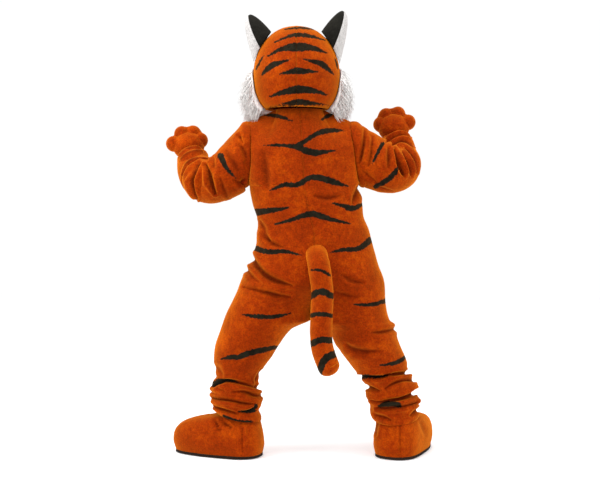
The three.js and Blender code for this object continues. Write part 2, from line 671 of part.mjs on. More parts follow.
// A leaf-shaped ear: p runs across from its front edge (0) to its back edge (1), q from the head (0) to the
// tip (1). swell is how far the face stands out at the ear's middle, towards its facing side if positive.
function earPoint(sideName, p, q, swell, rim) {
  const side = SIDES[sideName];
  const foot = headPoint(side, EAR.turn, EAR.height);
  const length = vector(...EAR_TIPS[sideName]).sub(foot);
  const axis = length.clone().normalize();
  const aim = THREE.MathUtils.degToRad(EAR.facing);
  const facing = vector(side * Math.sin(aim), -Math.cos(aim), 0);
  facing.addScaledVector(axis, -facing.dot(axis)).normalize();
  const across = vector(0, 0, 0).crossVectors(axis, facing).multiplyScalar(side);
  const outline = (0.86 + 0.9 * q) * (1 - q ** 1.7);
  const round = Math.sqrt(Math.max(0, Math.sin(Math.PI * p))) * (1 - q) ** 0.5;
  const place = foot
    .addScaledVector(across, -(p - 0.5) * EAR.wide * outline)
    .addScaledVector(facing, rim + swell * round);
  let low = 60;
  while (low > -120 && !insideHead(place.clone().addScaledVector(axis, low))) low -= 1;
  return place.addScaledVector(axis, mix(low + EAR.clear, length.length(), q));
}

function insideHead({ x, y, z }) {
  if (z > HEAD[HEAD.length - 1].z) return false;
  const [wide, reach] = ["wide", y > 0 ? "back" : "front"].map((name) => column(HEAD, "z", name, z));
  return Math.hypot((x - HEAD_X) / wide, y / reach) < 1;
}

function ear(sideName, layer) {
  const side = layer === "back" ? -1 : 1;
  const swell = layer === "back" ? EAR.black : EAR.white;
  const grid = (height, rim) =>
    [0, 0.25, 0.5, 0.75, 0.97].map((q) => steps(5).map((p) => earPoint(sideName, p, q, height, rim)));
  const [near, far] = [grid(0, side * 0.2), grid(side * swell, side * EAR.rim)];
  const quads = shellQuads(near, far, false);
  const turned = side * SIDES[sideName] < 0 ? quads : quads.map((quad) => quad.reverse());
  return meshOf(`ear_${layer}_${sideName}`, turned, layer === "back" ? BLACK : FUR_WHITE, 0.95);
}

// The white cheek fur as the plain solid of its reach: it grows from the side of the head and hangs past
// the rim.
const RUFF = { from: 80, to: 146, top: 1626, bottom: 1452, reach: 46, hang: 32 };

function ruff(sideName) {
  const side = SIDES[sideName];
  const grid = (outer) =>
    steps(6).map((q) =>
      steps(7).map((p) => {
        const turn = mix(RUFF.from, RUFF.to, p);
        const z = mix(RUFF.top, RUFF.bottom, q);
        const out = headPoint(side, turn, z).sub(vector(HEAD_X, 0, z)).normalize();
        const full = Math.sin(Math.PI * clamp01(0.06 + 0.88 * p)) ** 0.6 * (0.12 + 0.88 * smooth(q * 1.6));
        const place = headPoint(side, turn, z).addScaledVector(out, outer ? 9 + RUFF.reach * full : 5);
        if (outer) place.z -= RUFF.hang * q * q;
        return place;
      }),
    );
  const quads = shellQuads(grid(true), grid(false), false);
  const facesOut = side < 0 ? quads : quads.map((quad) => quad.reverse());
  return meshOf(`ruff_${sideName}`, facesOut, FUR_WHITE, 0.95);
}

const costume = new THREE.Group();
for (const sideName of ["left", "right"]) {
  costume.add(suitPanel(sideName, "back"));
  costume.add(suitPanel(sideName, "front"));
  costume.add(sleeve(sideName));
  costume.add(mitt(sideName));
  costume.add(boot(sideName));
  costume.add(sole(sideName));
  costume.add(headHalf(sideName));
  costume.add(ear(sideName, "back"));
  costume.add(ear(sideName, "front"));
  costume.add(ruff(sideName));
}
costume.add(tail(), ...face());
costume.position.z = -SHOULDER_HEIGHT;
const part = new THREE.Group();
part.add(costume);
export default part;
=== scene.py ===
"""Tiger mascot costume, held as worn: plush suit, mitts, boots and tail, and a foam head with cheek fur.

Surfaces are worked out in millimetres above the floor, as the maker would measure them, and are lowered
to the shoulder line and turned to metres when they become meshes.
"""
import math

import bmesh
import bpy
import numpy as np
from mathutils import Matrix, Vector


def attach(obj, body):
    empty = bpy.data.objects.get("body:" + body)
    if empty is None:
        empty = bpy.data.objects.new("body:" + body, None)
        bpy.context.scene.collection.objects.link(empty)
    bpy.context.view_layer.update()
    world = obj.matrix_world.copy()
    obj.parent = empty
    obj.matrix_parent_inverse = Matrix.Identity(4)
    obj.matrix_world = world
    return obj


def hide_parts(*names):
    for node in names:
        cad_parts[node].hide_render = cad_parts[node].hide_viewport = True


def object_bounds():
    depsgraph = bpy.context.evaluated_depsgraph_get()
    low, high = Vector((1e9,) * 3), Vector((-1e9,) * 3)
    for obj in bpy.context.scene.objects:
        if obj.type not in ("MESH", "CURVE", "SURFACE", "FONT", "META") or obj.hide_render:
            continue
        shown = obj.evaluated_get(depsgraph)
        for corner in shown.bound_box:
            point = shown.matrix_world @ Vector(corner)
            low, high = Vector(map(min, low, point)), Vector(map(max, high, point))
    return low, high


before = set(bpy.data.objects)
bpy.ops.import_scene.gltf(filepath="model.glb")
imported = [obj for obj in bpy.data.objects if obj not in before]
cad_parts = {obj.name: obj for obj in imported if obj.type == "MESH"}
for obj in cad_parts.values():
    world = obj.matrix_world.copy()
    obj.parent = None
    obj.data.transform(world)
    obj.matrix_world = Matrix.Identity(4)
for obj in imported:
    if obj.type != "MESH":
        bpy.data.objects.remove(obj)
cad_box = [list(corner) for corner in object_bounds()]

# ---- sizes --------------------------------------------------------------------------------------------
SHOULDER_HEIGHT = 1400.0  # floor to shoulder tips; the origin lies there
FLOOR = cad_box[0][2]
PLUSH = 3.0  # cloth thickness
CROTCH_HEIGHT = 575.0
BLEND_TOP = 745.0
ARMHOLE = {"height": 270.0, "depth": 168.0, "middle": 1265.0}
NECK = {"wide": 96.0, "back": 74.0, "front": 70.0, "rise": 46.0, "dip": 30.0}
HEM_TILT = 0.19
TILT_TOP = 300.0
SHOULDER_FADE = 120.0
SEAM_GAP = 0.3
TAIL_RADIUS = 44.0
VIEW_DISTANCE = 4300.0  # the costume is seen from behind at this distance
VIEW_HEIGHT = 1000.0
FOLD_DEPTH = 1.6
ROOM_LIGHT = 0.6  # brightness behind the camera, next to 1 for the backdrop
SIDES = {"left": 1, "right": -1}

# Columns: z, lean, wide, back, front.
TORSO = [
    (1400, 2, 207, 92, 84),
    (1360, -2, 206, 118, 100),
    (1300, -8, 208, 136, 116),
    (1220, -13, 213, 143, 128),
    (1130, -17, 226, 142, 136),
    (1054, -31, 227, 138, 140),
    (1000, -43, 221, 137, 142),
    (955, -55, 228, 138, 144),
    (900, -59, 239, 145, 147),
    (855, -60, 251, 152, 148),
    (800, -58, 269, 158, 147),
    (745, -52, 296, 160, 145),
    (650, -47, 318, 156, 140),
    (575, -45, 338, 150, 136),
]
# Columns: z, inner, outer, y, back, front.
LEGS = {
    "left": [
        (745, -52, 248, 4, 140, 132),
        (690, -50, 274, 2, 140, 132),
        (640, -47, 295, 0, 138, 130),
        (575, -45, 318, -4, 130, 124),
        (556, -4, 325, -5, 126, 122),
        (535, 36, 332, -6, 124, 120),
        (473, 84, 353, -10, 118, 118),
        (420, 116, 360, -14, 106, 112),
        (390, 138, 357, -16, 100, 104),
        (352, 166, 353, -18, 92, 96),
        (328, 172, 349, -20, 84, 88),
        (306, 177, 366, -20, 92, 94),
        (284, 174, 375, -21, 96, 97),
        (265, 165, 367, -22, 90, 92),
        (245, 158, 377, -22, 98, 100),
        (222, 163, 373, -23, 96, 98),
        (206, 172, 363, -24, 90, 92),
        (190, 164, 366, -24, 95, 96),
        (173, 155, 365, -23, 104, 100),
    ],
    "right": [
        (745, -52, -336, 4, 140, 132),
        (690, -50, -343, 2, 140, 132),
        (640, -47, -353, 0, 138, 130),
        (575, -45, -373, -2, 130, 124),
        (556, -84, -391, -2, 127, 122),
        (535, -118, -396, -2, 124, 120),
        (473, -146, -416, -4, 118, 118),
        (420, -187, -439, -8, 108, 112),
        (390, -207, -449, -10, 102, 104),
        (357, -233, -446, -12, 90, 94),
        (328, -258, -470, -14, 95, 96),
        (300, -281, -492, -15, 97, 98),
        (272, -278, -482, -16, 90, 92),
        (254, -275, -477, -17, 88, 90),
        (232, -289, -503, -18, 98, 99),
        (212, -294, -494, -18, 92, 94),
        (191, -294, -496, -20, 94, 95),
        (179, -303, -496, -20, 94, 93),
        (166, -302, -504, -19, 102, 98),
    ],
}
# Columns: ring, x, y, z, high, across.
SLEEVES = {
    "left": [
        (0, 205, 0, 1265, 135, 84),
        (1, 248, -2, 1236, 115, 90),
        (2, 292, -6, 1188, 101, 94),
        (3, 337, -14, 1160, 95, 92),
        (4, 378, -34, 1152, 94, 90),
        (5, 411, -66, 1163, 88, 84),
        (6, 435, -104, 1187, 79, 78),
        (7, 453, -146, 1218, 72, 72),
        (8, 464, -186, 1252, 66, 68),
    ],
    "right": [
        (0, -228, 0, 1265, 135, 84),
        (1, -270, -2, 1248, 115, 90),
        (2, -312, -6, 1224, 108, 94),
        (3, -354, -14, 1205, 102, 94),
        (4, -392, -36, 1200, 96, 92),
        (5, -418, -70, 1213, 90, 86),
        (6, -425, -108, 1247, 80, 80),
        (7, -421, -144, 1288, 72, 72),
        (8, -418, -176, 1330, 65, 66),
    ],
}
MITTS = {
    "left": {"palm": (486, -226, 1312), "fingers": (0.16, -0.36, 0.92), "side": (0.98, 0.1, -0.13)},
    "right": {"palm": (-407, -208, 1390), "fingers": (0.06, -0.34, 0.94), "side": (-0.98, 0.05, 0.1)},
}
PALM = (68.0, 52.0, 62.0)  # half-sizes: across, through, along
# Columns: turn in degrees, reach, radius.
FINGERS = [(-68, 60, 31), (-24, 66, 33), (20, 67, 33), (72, 67, 33)]
WRIST = {"radius": 59.0, "share": 0.18, "inside": 16.0, "reach": 30.0, "lean": 140.0}
BOOTS = {"left": (258, -22, 72), "right": (-411, -18, 28)}  # ankle x, y and turn of the toes
# Columns: z, heel, toe, wide.
BOOT_RINGS = [
    (14.3, 100, 284, 90),
    (48, 106, 294, 97),
    (88, 103, 290, 96),
    (116, 98, 272, 93),
    (138, 93, 240, 88),
    (154, 86, 190, 82),
    (165, 80, 136, 76),
    (174, 76, 84, 71),
]
SOLE = 14.0
# Columns: place, x, y, z.
TAIL = [
    (0, -66, 164, 852),
    (1, -72, 208, 828),
    (2, -80, 228, 776),
    (3, -88, 228, 700),
    (4, -86, 228, 620),
    (5, -82, 228, 540),
    (6, -89, 228, 480),
    (7, -110, 228, 420),
    (8, -131, 228, 378),
]
HEAD_X = 14.0
# Columns: z, wide, back, front.
HEAD = [
    (1447, 129, 122, 116),
    (1472, 150, 146, 140),
    (1510, 167, 164, 160),
    (1555, 176, 174, 170),
    (1600, 178, 176, 172),
    (1650, 171, 168, 166),
    (1700, 151, 150, 148),
    (1745, 115, 118, 114),
    (1777, 66, 70, 68),
    (1793, 0, 0, 0),
]
EAR_TIPS = {"left": (214.0, 2.0, 1836.0), "right": (-182.0, 2.0, 1852.0)}
EAR = {"turn": 84.0, "height": 1712.0, "wide": 112.0, "facing": 72.0, "black": 56.0, "white": 60.0, "rim": 2.0, "clear": 9.0}
RUFF = {"from": 80.0, "to": 146.0, "top": 1626.0, "bottom": 1452.0, "reach": 46.0, "hang": 32.0}
MUZZLE = {"z": 1532.0, "across": 84.0, "up": 58.0, "swell": 58.0}
NOSE = {"z": 1556.0, "across": 27.0, "up": 17.0, "swell": 13.0}
EYES = {"x": 56.0, "z": 1628.0, "across": 23.0, "up": 29.0, "swell": 7.0}


# ---- reading tables -----------------------------------------------------------------------------------
def column(rows, at, which):
    """One column of a table as a smooth curve along its first column (Hermite, with mean slopes)."""
    table = np.array(sorted(rows), dtype=float)
    keys, values = table[:, 0], table[:, which]
    at = np.clip(np.asarray(at, dtype=float), keys[0], keys[-1])
    before = np.maximum(np.arange(len(keys)) - 1, 0)
    after = np.minimum(np.arange(len(keys)) + 1, len(keys) - 1)
    slope = (values[after] - values[before]) / (keys[after] - keys[before])
    i = np.clip(np.searchsorted(keys, at, side="right") - 1, 0, len(keys) - 2)
    step = keys[i + 1] - keys[i]
    s = (at - keys[i]) / step
    flat = s * s * (3 - 2 * s)
    bend = (s**3 - 2 * s**2 + s) * slope[i] + (s**3 - s**2) * slope[i + 1]
    return values[i] + (values[i + 1] - values[i]) * flat + bend * step


def smooth(value):
    """0 below 0, 1 above 1 and an S between."""
    value = np.clip(value, 0, 1)
    return value * value * (3 - 2 * value)


def unit(vectors):
    """Vectors scaled to length one."""
    return vectors / np.maximum(np.linalg.norm(vectors, axis=-1, keepdims=True), 1e-9)


def stack(x, y, z):
    """Three arrays as one array of points."""
    return np.stack(np.broadcast_arrays(x, y, z), axis=-1).astype(float)


# ---- the suit's surfaces ------------------------------------------------------------------------------
def torso_point(side, face, t, z):
    """Quarter of an oval from the middle seam (t 0) to the side (t 1); its end follows the armhole."""
    lean, wide = column(TORSO, z, 1), column(TORSO, z, 2)
    middle = column(TORSO, z, 3) if face > 0 else -column(TORSO, z, 4)
    share = (z - ARMHOLE["middle"]) / (ARMHOLE["height"] / 2)
    edge = face * ARMHOLE["depth"] / 2 * np.sqrt(np.clip(1 - share**2, 0, 1))
    turn = t * math.pi / 2
    return stack(
        lean + side * wide * np.sin(turn), middle * np.clip(np.cos(turn), 0, 1) ** 0.8 + edge * t**3, z
    )


def shoulder_cut(side, face, t):
    """The neck line from the middle to its side (t below a half), then the shoulder seam to the tip."""
    tip_x, tip_wide = column(TORSO, SHOULDER_HEIGHT, 1), column(TORSO, SHOULDER_HEIGHT, 2)
    reach = NECK["back"] if face > 0 else -NECK["front"]
    high = SHOULDER_HEIGHT + NECK["rise"]
    middle = high - (0 if face > 0 else NECK["dip"])
    turn = np.minimum(t, 0.5) * math.pi
    neck = stack(
        tip_x + side * NECK["wide"] * np.sin(turn),
        reach * np.cos(turn),
        high + (middle - high) * np.cos(turn) ** 2,
    )
    share = np.clip(2 * t - 1, 0, 1)[..., None]
    tip = np.array([tip_x + side * tip_wide, 0, SHOULDER_HEIGHT])
    return np.where(t[..., None] < 0.5, neck, neck + (tip - neck) * share)


def suit_point(name, face, t, z):
    """Torso above, leg below and a soft passage through the seat; the top is pulled to the shoulder cut."""
    side = SIDES[name]
    t, z = np.broadcast_arrays(np.asarray(t, float), np.asarray(z, float))
    legs = LEGS[name]
    inner = np.where(z < CROTCH_HEIGHT, column(legs, z, 1), column(TORSO, z, 1))
    outer = column(legs, z, 2)
    reach = column(legs, z, 4 if face > 0 else 5)
    turn = t * math.pi
    across = (outer - inner) * (-np.cos(turn) / 2)
    along = face * reach * np.sin(turn)
    aim = math.radians(BOOTS[name][2])
    lowest = legs[-1][0]
    tilt = HEM_TILT * smooth((TILT_TOP - z) / (TILT_TOP - lowest))
    rise = tilt * (across * side * math.sin(aim) - along * math.cos(aim))
    leg = stack((inner + outer) / 2 + across, column(legs, z, 3) + along, z + rise)
    torso = torso_point(side, face, t, z)
    part = smooth((BLEND_TOP - z) / (BLEND_TOP - CROTCH_HEIGHT))[..., None]
    place = torso + (leg - torso) * part
    pull = smooth((z - SHOULDER_HEIGHT + SHOULDER_FADE) / SHOULDER_FADE)[..., None]
    top = torso_point(side, face, t, np.full_like(z, SHOULDER_HEIGHT))
    place = place + (shoulder_cut(side, face, t) - top) * pull
    place[..., 0] += side * SEAM_GAP / 2
    return place


def sleeve_point(name, u, ring):
    """Rings square to the sleeve's run; the first ones pass over from the armhole."""
    side = SIDES[name]
    rows = SLEEVES[name]
    place = lambda at: stack(column(rows, at, 1), column(rows, at, 2), column(rows, at, 3))
    run = unit(place(ring + 0.5) - place(ring - 0.5))
    stay = (1 - smooth(ring / 3))[..., None]
    run = unit(run + (np.array([side, 0.0, 0.0]) - run) * stay)
    back = unit(np.array([0.0, 1.0, 0.0]) - run * run[..., 1:2])
    up = np.cross(run, back)
    test = up[..., 0] * run[..., 2] + up[..., 2] * np.abs(run[..., 0])
    up = up * np.where(test < 0, -1.0, 1.0)[..., None]
    turn = u * 2 * math.pi
    free = (
        place(ring)
        + up * (column(rows, ring, 4) * np.cos(turn))[..., None]
        + back * (column(rows, ring, 5) * np.sin(turn))[..., None]
    )
    height = ARMHOLE["middle"] + ARMHOLE["height"] / 2 * np.cos(turn)
    one = np.ones_like(height)
    sewn = np.where(
        (u <= 0.5)[..., None], suit_point(name, 1, one, height), suit_point(name, -1, one, height)
    )
    sewn[..., 0] += side * (1.2 * SEAM_GAP + 46 * ring)
    sewn[..., 2] -= 18 * ring
    hold = (1 - smooth(ring / 1.6))[..., None]
    return free + (sewn - free) * hold


def mitt_point(name, u, v):
    """A ray from the palm's middle leaves the palm and four finger balls; below it draws in to the cuff."""
    mitt = MITTS[name]
    z = unit(np.array(mitt["fingers"]))
    x = np.array(mitt["side"]) - z * np.dot(mitt["side"], z)
    x = unit(x)
    y = np.cross(z, x)
    rows = SLEEVES[name]
    end, before = np.array(rows[-1][1:4], float), np.array(rows[-2][1:4], float)
    run = unit(end - before)
    turn = u * 2 * math.pi
    palm_share = 1 - WRIST["share"]
    lean = np.radians(WRIST["lean"] * np.minimum(v, palm_share) / palm_share)
    ray = stack(np.sin(lean) * np.cos(turn), np.sin(lean) * np.sin(turn), np.cos(lean))
    total = (1 / np.linalg.norm(ray / np.array(PALM), axis=-1)) ** 8
    for angle, reach, radius in FINGERS:
        spot = reach * np.array([math.sin(math.radians(angle)), 0, math.cos(math.radians(angle))])
        along = ray @ spot
        rest = along**2 - spot @ spot + radius**2
        total = total + np.where(rest > 0, along + np.sqrt(np.maximum(rest, 0)), 0) ** 8
    local = ray * (total ** (1 / 8))[..., None]
    hand = np.array(mitt["palm"], float) + local[..., :1] * x + local[..., 1:2] * y + local[..., 2:] * z
    across = unit(x - run * np.dot(x, run))
    through = np.cross(run, across)
    cuff = (
        end
        - WRIST["inside"] * run
        + (WRIST["reach"] * (1 - v) / WRIST["share"])[..., None] * run
        + (WRIST["radius"] * np.cos(turn))[..., None] * across
        + (WRIST["radius"] * np.sin(turn))[..., None] * through
    )
    return hand + (cuff - hand) * smooth((v - palm_share) / WRIST["share"])[..., None]


def boot_point(name, turn, z):
    """Egg-shaped rings: the toe's reach before the ankle, the heel's behind it."""
    x, y, toes = BOOTS[name]
    aim = math.radians(toes)
    forward = np.array([SIDES[name] * math.sin(aim), -math.cos(aim), 0])
    sideways = np.array([-forward[1], forward[0], 0])
    long = np.where(np.cos(turn) > 0, column(BOOT_RINGS, z, 2), column(BOOT_RINGS, z, 1))
    round_off = lambda value: np.sign(value) * np.abs(value) ** 0.86
    return (
        stack(x, y, z)
        + (long * round_off(np.cos(turn)))[..., None] * forward
        + (column(BOOT_RINGS, z, 3) * round_off(np.sin(turn)))[..., None] * sideways
    )


def head_point(side, turn, z):
    """Ovals round the head: turn in radians from the back by the side to the face."""
    wide, back, front = (np.maximum(column(HEAD, z, which), 0) for which in (1, 2, 3))
    reach = np.where(turn < math.pi / 2, back, front)
    return stack(HEAD_X + side * wide * np.sin(turn), reach * np.cos(turn), z)




# ---- meshes -------------------------------------------------------------------------------------------
def to_metres(points):
    """From millimetres above the floor to metres about the shoulder line."""
    return (points - np.array([0, 0, SHOULDER_HEIGHT])) / 1000


def grid_normals(points, out, closed=False):
    """Normals of a grid from its neighbours; out is +1 or -1, whichever points outwards."""
    wide = np.concatenate([points[:, -2:-1], points, points[:, 1:2]], axis=1) if closed else points
    along = np.gradient(wide, axis=1)
    along = along[:, 1:-1] if closed else along
    down = np.gradient(points, axis=0)
    return unit(np.cross(along, down)) * out


def finished(name, mesh, material, nodes, recalculate=False):
    """Joins equal points, smooths the faces and hangs the piece in the frame."""
    shape = bmesh.new()
    shape.from_mesh(mesh)
    bmesh.ops.remove_doubles(shape, verts=shape.verts, dist=2e-5)
    if recalculate:
        bmesh.ops.recalc_face_normals(shape, faces=shape.faces)
    shape.to_mesh(mesh)
    shape.free()
    mesh.polygons.foreach_set("use_smooth", np.ones(len(mesh.polygons), bool))
    piece = bpy.data.objects.new(name, mesh)
    bpy.context.scene.collection.objects.link(piece)
    mesh.materials.append(material)
    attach(piece, "root")
    if nodes:
        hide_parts(*nodes)
    return piece


def grid_piece(name, points, out, material, nodes, wall=None, marks=None, painted_crease_shade=None):
    """A grid of points as quads. out tells which way is outside, 0 a closed form; wall is its thickness.

    marks go to the attribute "stripe"; the depth of troughs, which the shader turns into painted shade, goes to an
    attribute named as its argument."""
    rows, columns = points.shape[:2]
    index = np.arange(rows * columns).reshape(rows, columns)
    quads = np.stack([index[:-1, :-1], index[:-1, 1:], index[1:, 1:], index[1:, :-1]], axis=-1).reshape(-1, 4)
    if out < 0:
        quads = quads[:, ::-1]
    mesh = bpy.data.meshes.new(name)
    mesh.from_pydata(to_metres(points.reshape(-1, 3)), [], quads.tolist())
    mesh.update()
    for title, values in (("stripe", marks), ("painted_crease_shade", painted_crease_shade)):
        if values is not None:
            layer = mesh.attributes.new(title, "FLOAT", "POINT")
            layer.data.foreach_set("value", np.ascontiguousarray(values.reshape(-1), dtype=np.float32))
    piece = finished(name, mesh, material, nodes, recalculate=out == 0)
    if wall:
        solidify = piece.modifiers.new("wall", "SOLIDIFY")
        solidify.thickness = wall / 1000
        solidify.offset = -1
    return piece


def pillow(outer, inner):
    """A closed grid from an outer and an inner grid: across the one, back over the other, ends drawn shut."""
    middle = (outer + inner) / 2
    rows = [np.concatenate([a, b[:, ::-1], a[:, :1]], axis=1) for a, b in ((outer, inner), (middle, middle))]
    return np.concatenate([rows[1][:1], rows[0], rows[1][-1:]], axis=0)


def locks(name, roots, ways, lengths, width, fall, material, nodes=()):
    """Three-sided locks of fur that taper to a point: root + length * (s * way + fall * s^2 downwards)."""
    rings = 5
    s = np.linspace(0, 1, rings)[None, :, None]
    down = np.array([0, 0, -1.0])
    path = roots[:, None] + lengths[:, None, None] * (s * ways[:, None] + fall * s**2 * down)
    run = unit(np.gradient(path, axis=1))
    aside = unit(np.cross(run, np.array([0.31, 0.17, 0.93])))
    over = np.cross(run, aside)
    thick = (width * (1 - s**1.6))[..., None]
    turn = (np.arange(3) * 2 * math.pi / 3)[None, None, :, None]
    corners = path[:, :, None] + thick * (np.cos(turn) * aside[:, :, None] + 0.6 * np.sin(turn) * over[:, :, None])
    count = len(roots)
    index = np.arange(count * rings * 3).reshape(count, rings, 3)
    follow = np.roll(index, -1, axis=2)
    quads = np.stack([index[:, :-1], index[:, 1:], follow[:, 1:], follow[:, :-1]], axis=-1).reshape(-1, 4)
    ends = index[:, 0]
    mesh = bpy.data.meshes.new(name)
    mesh.from_pydata(to_metres(corners.reshape(-1, 3)), [], quads.tolist() + ends.tolist())
    mesh.update()
    return finished(name, mesh, material, nodes, recalculate=True)


# ---- folds and stripes --------------------------------------------------------------------------------
def seen_flat(points):
    """Across and height as they look from straight behind, where nearer parts spread a little."""
    spread = VIEW_DISTANCE / (VIEW_DISTANCE - points[..., 1])
    return np.stack([points[..., 0] * spread, VIEW_HEIGHT + (points[..., 2] - VIEW_HEIGHT) * spread], axis=-1)


def eased(line):
    """A bent line with its corners cut twice and its ends kept."""
    points = np.array(line, float)
    for _ in range(2):
        near, far = 0.75 * points[:-1] + 0.25 * points[1:], 0.25 * points[:-1] + 0.75 * points[1:]
        points = np.concatenate([points[:1], np.stack([near, far], axis=1).reshape(-1, 3), points[-1:]])
    return points


def nearest(flat, line):
    """The distance from each point to a bent line, and the half-width read along the line there."""
    gap, width = np.full(flat.shape[:-1], 1e6), np.ones(flat.shape[:-1])
    points = eased(line)
    for (x0, z0, w0), (x1, z1, w1) in zip(points[:-1], points[1:]):
        start, run = np.array([x0, z0], float), np.array([x1 - x0, z1 - z0], float)
        share = np.clip(((flat - start) @ run) / (run @ run), 0, 1)
        here = np.linalg.norm(flat - start - share[..., None] * run, axis=-1)
        closer = here < gap
        gap = np.where(closer, here, gap)
        width = np.where(closer, w0 + (w1 - w0) * share, width)
    return gap, width


def marks_of(flat, stripes):
    """How deep each point lies in the nearest stripe: its half-width there less the distance to it."""
    best = np.full(flat.shape[:-1], -60.0)
    for line in stripes:
        gap, width = nearest(flat, line)
        best = np.maximum(best, width - gap)
    return best


def relief(flat, creases):
    """Height of the cloth over its plain form: each crease is a trough with a low roll on both sides."""
    total = np.zeros(flat.shape[:-1])
    for depth, line in creases:
        gap, width = nearest(flat, line)
        reach = gap / (1.15 * width)
        rolls = 0.5 * np.exp(-(((reach - 2.3) / 1.1) ** 2))
        total += depth * width / max(point[2] for point in line) * (rolls - np.exp(-(reach**1.7)))
    return FOLD_DEPTH * total


def wander(points, size):
    """Slow unevenness between -1 and 1 from five crossing waves of about this size."""
    total = 0.0
    for k, way in enumerate(((1.0, 0.3, 0.5), (-0.4, 1.0, 0.2), (0.2, -0.5, 1.0), (0.8, 0.9, -0.6), (-0.9, 0.4, 0.8))):
        total = total + np.sin(points @ np.array(way) * 2 * math.pi / (size * (1 + 0.23 * k)) + 1.7 * k)
    return total / 5


def near_edge(share, length, reach):
    """1 at the edge where share is 0 and falling to 0 within reach, for an edge whose share spans length."""
    return np.exp(-((share * length / reach) ** 2))


# ---- finishes -----------------------------------------------------------------------------------------
def linear(code):
    """An sRGB hex colour as linear values."""
    parts = [int(code[i : i + 2], 16) / 255 for i in (1, 3, 5)]
    return [p / 12.92 if p <= 0.04045 else ((p + 0.055) / 1.055) ** 2.4 for p in parts] + [1.0]


def add(tree, kind, links=(), **settings):
    """Adds a node; settings go to its properties or, by name, to its sockets; links are (socket, output)."""
    node = tree.nodes.new(kind)
    for key, value in settings.items():
        if hasattr(node, key):
            setattr(node, key, value)
        else:
            node.inputs[key.replace("_", " ")].default_value = value
    for socket, output in links:
        tree.links.new(output, node.inputs[socket])
    return node


def ramp_of(tree, value, stops):
    """A colour ramp over a value; stops are (place, hex colour)."""
    ramp = add(tree, "ShaderNodeValToRGB", [("Fac", value)])
    for k, (place, code) in enumerate(stops):
        element = ramp.color_ramp.elements[k] if k < 2 else ramp.color_ramp.elements.new(place)
        element.position = place
        element.color = linear(code)
    return ramp.outputs["Color"]


def spread(tree, value, low, high, to_low, to_high):
    """A value moved from one range to another."""
    node = add(tree, "ShaderNodeMapRange", [("Value", value)])
    for socket, number in (("From Min", low), ("From Max", high), ("To Min", to_low), ("To Max", to_high)):
        node.inputs[socket].default_value = number
    return node.outputs["Result"]


def mixed(tree, factor, first, second):
    """Two colours mixed by a factor; each is an output or a hex code."""
    node = add(tree, "ShaderNodeMix", [("Factor", factor)], data_type="RGBA")
    for socket, colour in ((6, first), (7, second)):
        if isinstance(colour, str):
            node.inputs[socket].default_value = linear(colour)
        else:
            tree.links.new(colour, node.inputs[socket])
    return node.outputs[2]


def pile(name, stops, tuft_mm, depth_mm, sheen, sheen_colour, striped=False, roughness=0.92, strand=None):
    """A pile fabric: brushed patches of nap in the colour, tufts in shade and bump, and a soft sheen; when striped, it
    also gets stripes and painted shade that darkens the colour and sheen in the troughs of creases and seams.

    strand is how many times finer the tufts are across than along their fall, for long fur."""
    material = bpy.data.materials.new(name)
    material.use_nodes = True
    tree = material.node_tree
    tree.nodes.clear()
    output = add(tree, "ShaderNodeOutputMaterial")
    shader = add(tree, "ShaderNodeBsdfPrincipled", Roughness=roughness)
    shader.inputs["Sheen Weight"].default_value = sheen
    shader.inputs["Sheen Roughness"].default_value = 0.5
    shader.inputs["Sheen Tint"].default_value = linear(sheen_colour)
    shader.inputs["Specular IOR Level"].default_value = 0.04
    tree.links.new(shader.outputs[0], output.inputs["Surface"])
    place = add(tree, "ShaderNodeTexCoord").outputs["Object"]
    broad = add(tree, "ShaderNodeTexNoise", [("Vector", place)], Scale=8.0, Detail=2.0, Roughness=0.5)
    brushed = add(tree, "ShaderNodeTexNoise", [("Vector", place)], Scale=46.0, Detail=3.0, Roughness=0.62)
    nap = add(tree, "ShaderNodeMath", [(0, broad.outputs["Fac"]), (1, brushed.outputs["Fac"])], operation="ADD")
    colour = ramp_of(tree, spread(tree, nap.outputs[0], 0.5, 1.5, 0, 1), stops)
    stretch = add(tree, "ShaderNodeMapping", [("Vector", place)])
    stretch.inputs["Scale"].default_value = (1, 1, 1 / (strand or 1))
    tufts = add(tree, "ShaderNodeTexNoise", [("Vector", stretch.outputs[0])], Scale=1000 / tuft_mm, Detail=2.0)
    shade = add(tree, "ShaderNodeVectorMath", [(0, colour)], operation="SCALE")
    tree.links.new(spread(tree, tufts.outputs["Fac"], 0.3, 0.7, 0.7, 1.2), shade.inputs["Scale"])
    colour = shade.outputs[0]
    if striped:
        mark = add(tree, "ShaderNodeAttribute", attribute_name="stripe").outputs["Fac"]
        fray = add(tree, "ShaderNodeTexNoise", [("Vector", place)], Scale=90.0, Detail=4.0, Roughness=0.65)
        edge = add(tree, "ShaderNodeMath", [(0, mark), (1, spread(tree, fray.outputs["Fac"], 0.3, 0.7, -3.2, 3.2))])
        cover = spread(tree, edge.outputs[0], -3.0, -0.6, 0, 1)
        colour = mixed(tree, cover, colour, ramp_of(tree, brushed.outputs["Fac"], [(0.35, "#10100b"), (0.65, "#1f1f17")]))
    # Painted shade in creases: the colour and the sheen weight are darkened by the trough depth under each point, down
    # to 0.42 at 9 mm.
    if striped:
        depth = add(tree, "ShaderNodeAttribute", attribute_name="painted_crease_shade").outputs["Fac"]
        crease_shade_factor = spread(tree, depth, 0.0, 9.0, 1.0, 0.42)
        shaded = add(tree, "ShaderNodeVectorMath", [(0, colour)], operation="SCALE")
        tree.links.new(crease_shade_factor, shaded.inputs["Scale"])
        colour = shaded.outputs[0]
        crease_shaded_sheen = add(tree, "ShaderNodeMath", [(0, crease_shade_factor), (1, spread(tree, cover, 0, 1, sheen, 0.1))], operation="MULTIPLY")
        tree.links.new(crease_shaded_sheen.outputs[0], shader.inputs["Sheen Weight"])
    tree.links.new(colour, shader.inputs["Base Color"])
    bump = add(tree, "ShaderNodeBump", [("Height", tufts.outputs["Fac"])], Strength=0.5, Distance=depth_mm / 1000)
    tree.links.new(bump.outputs["Normal"], shader.inputs["Normal"])
    return material
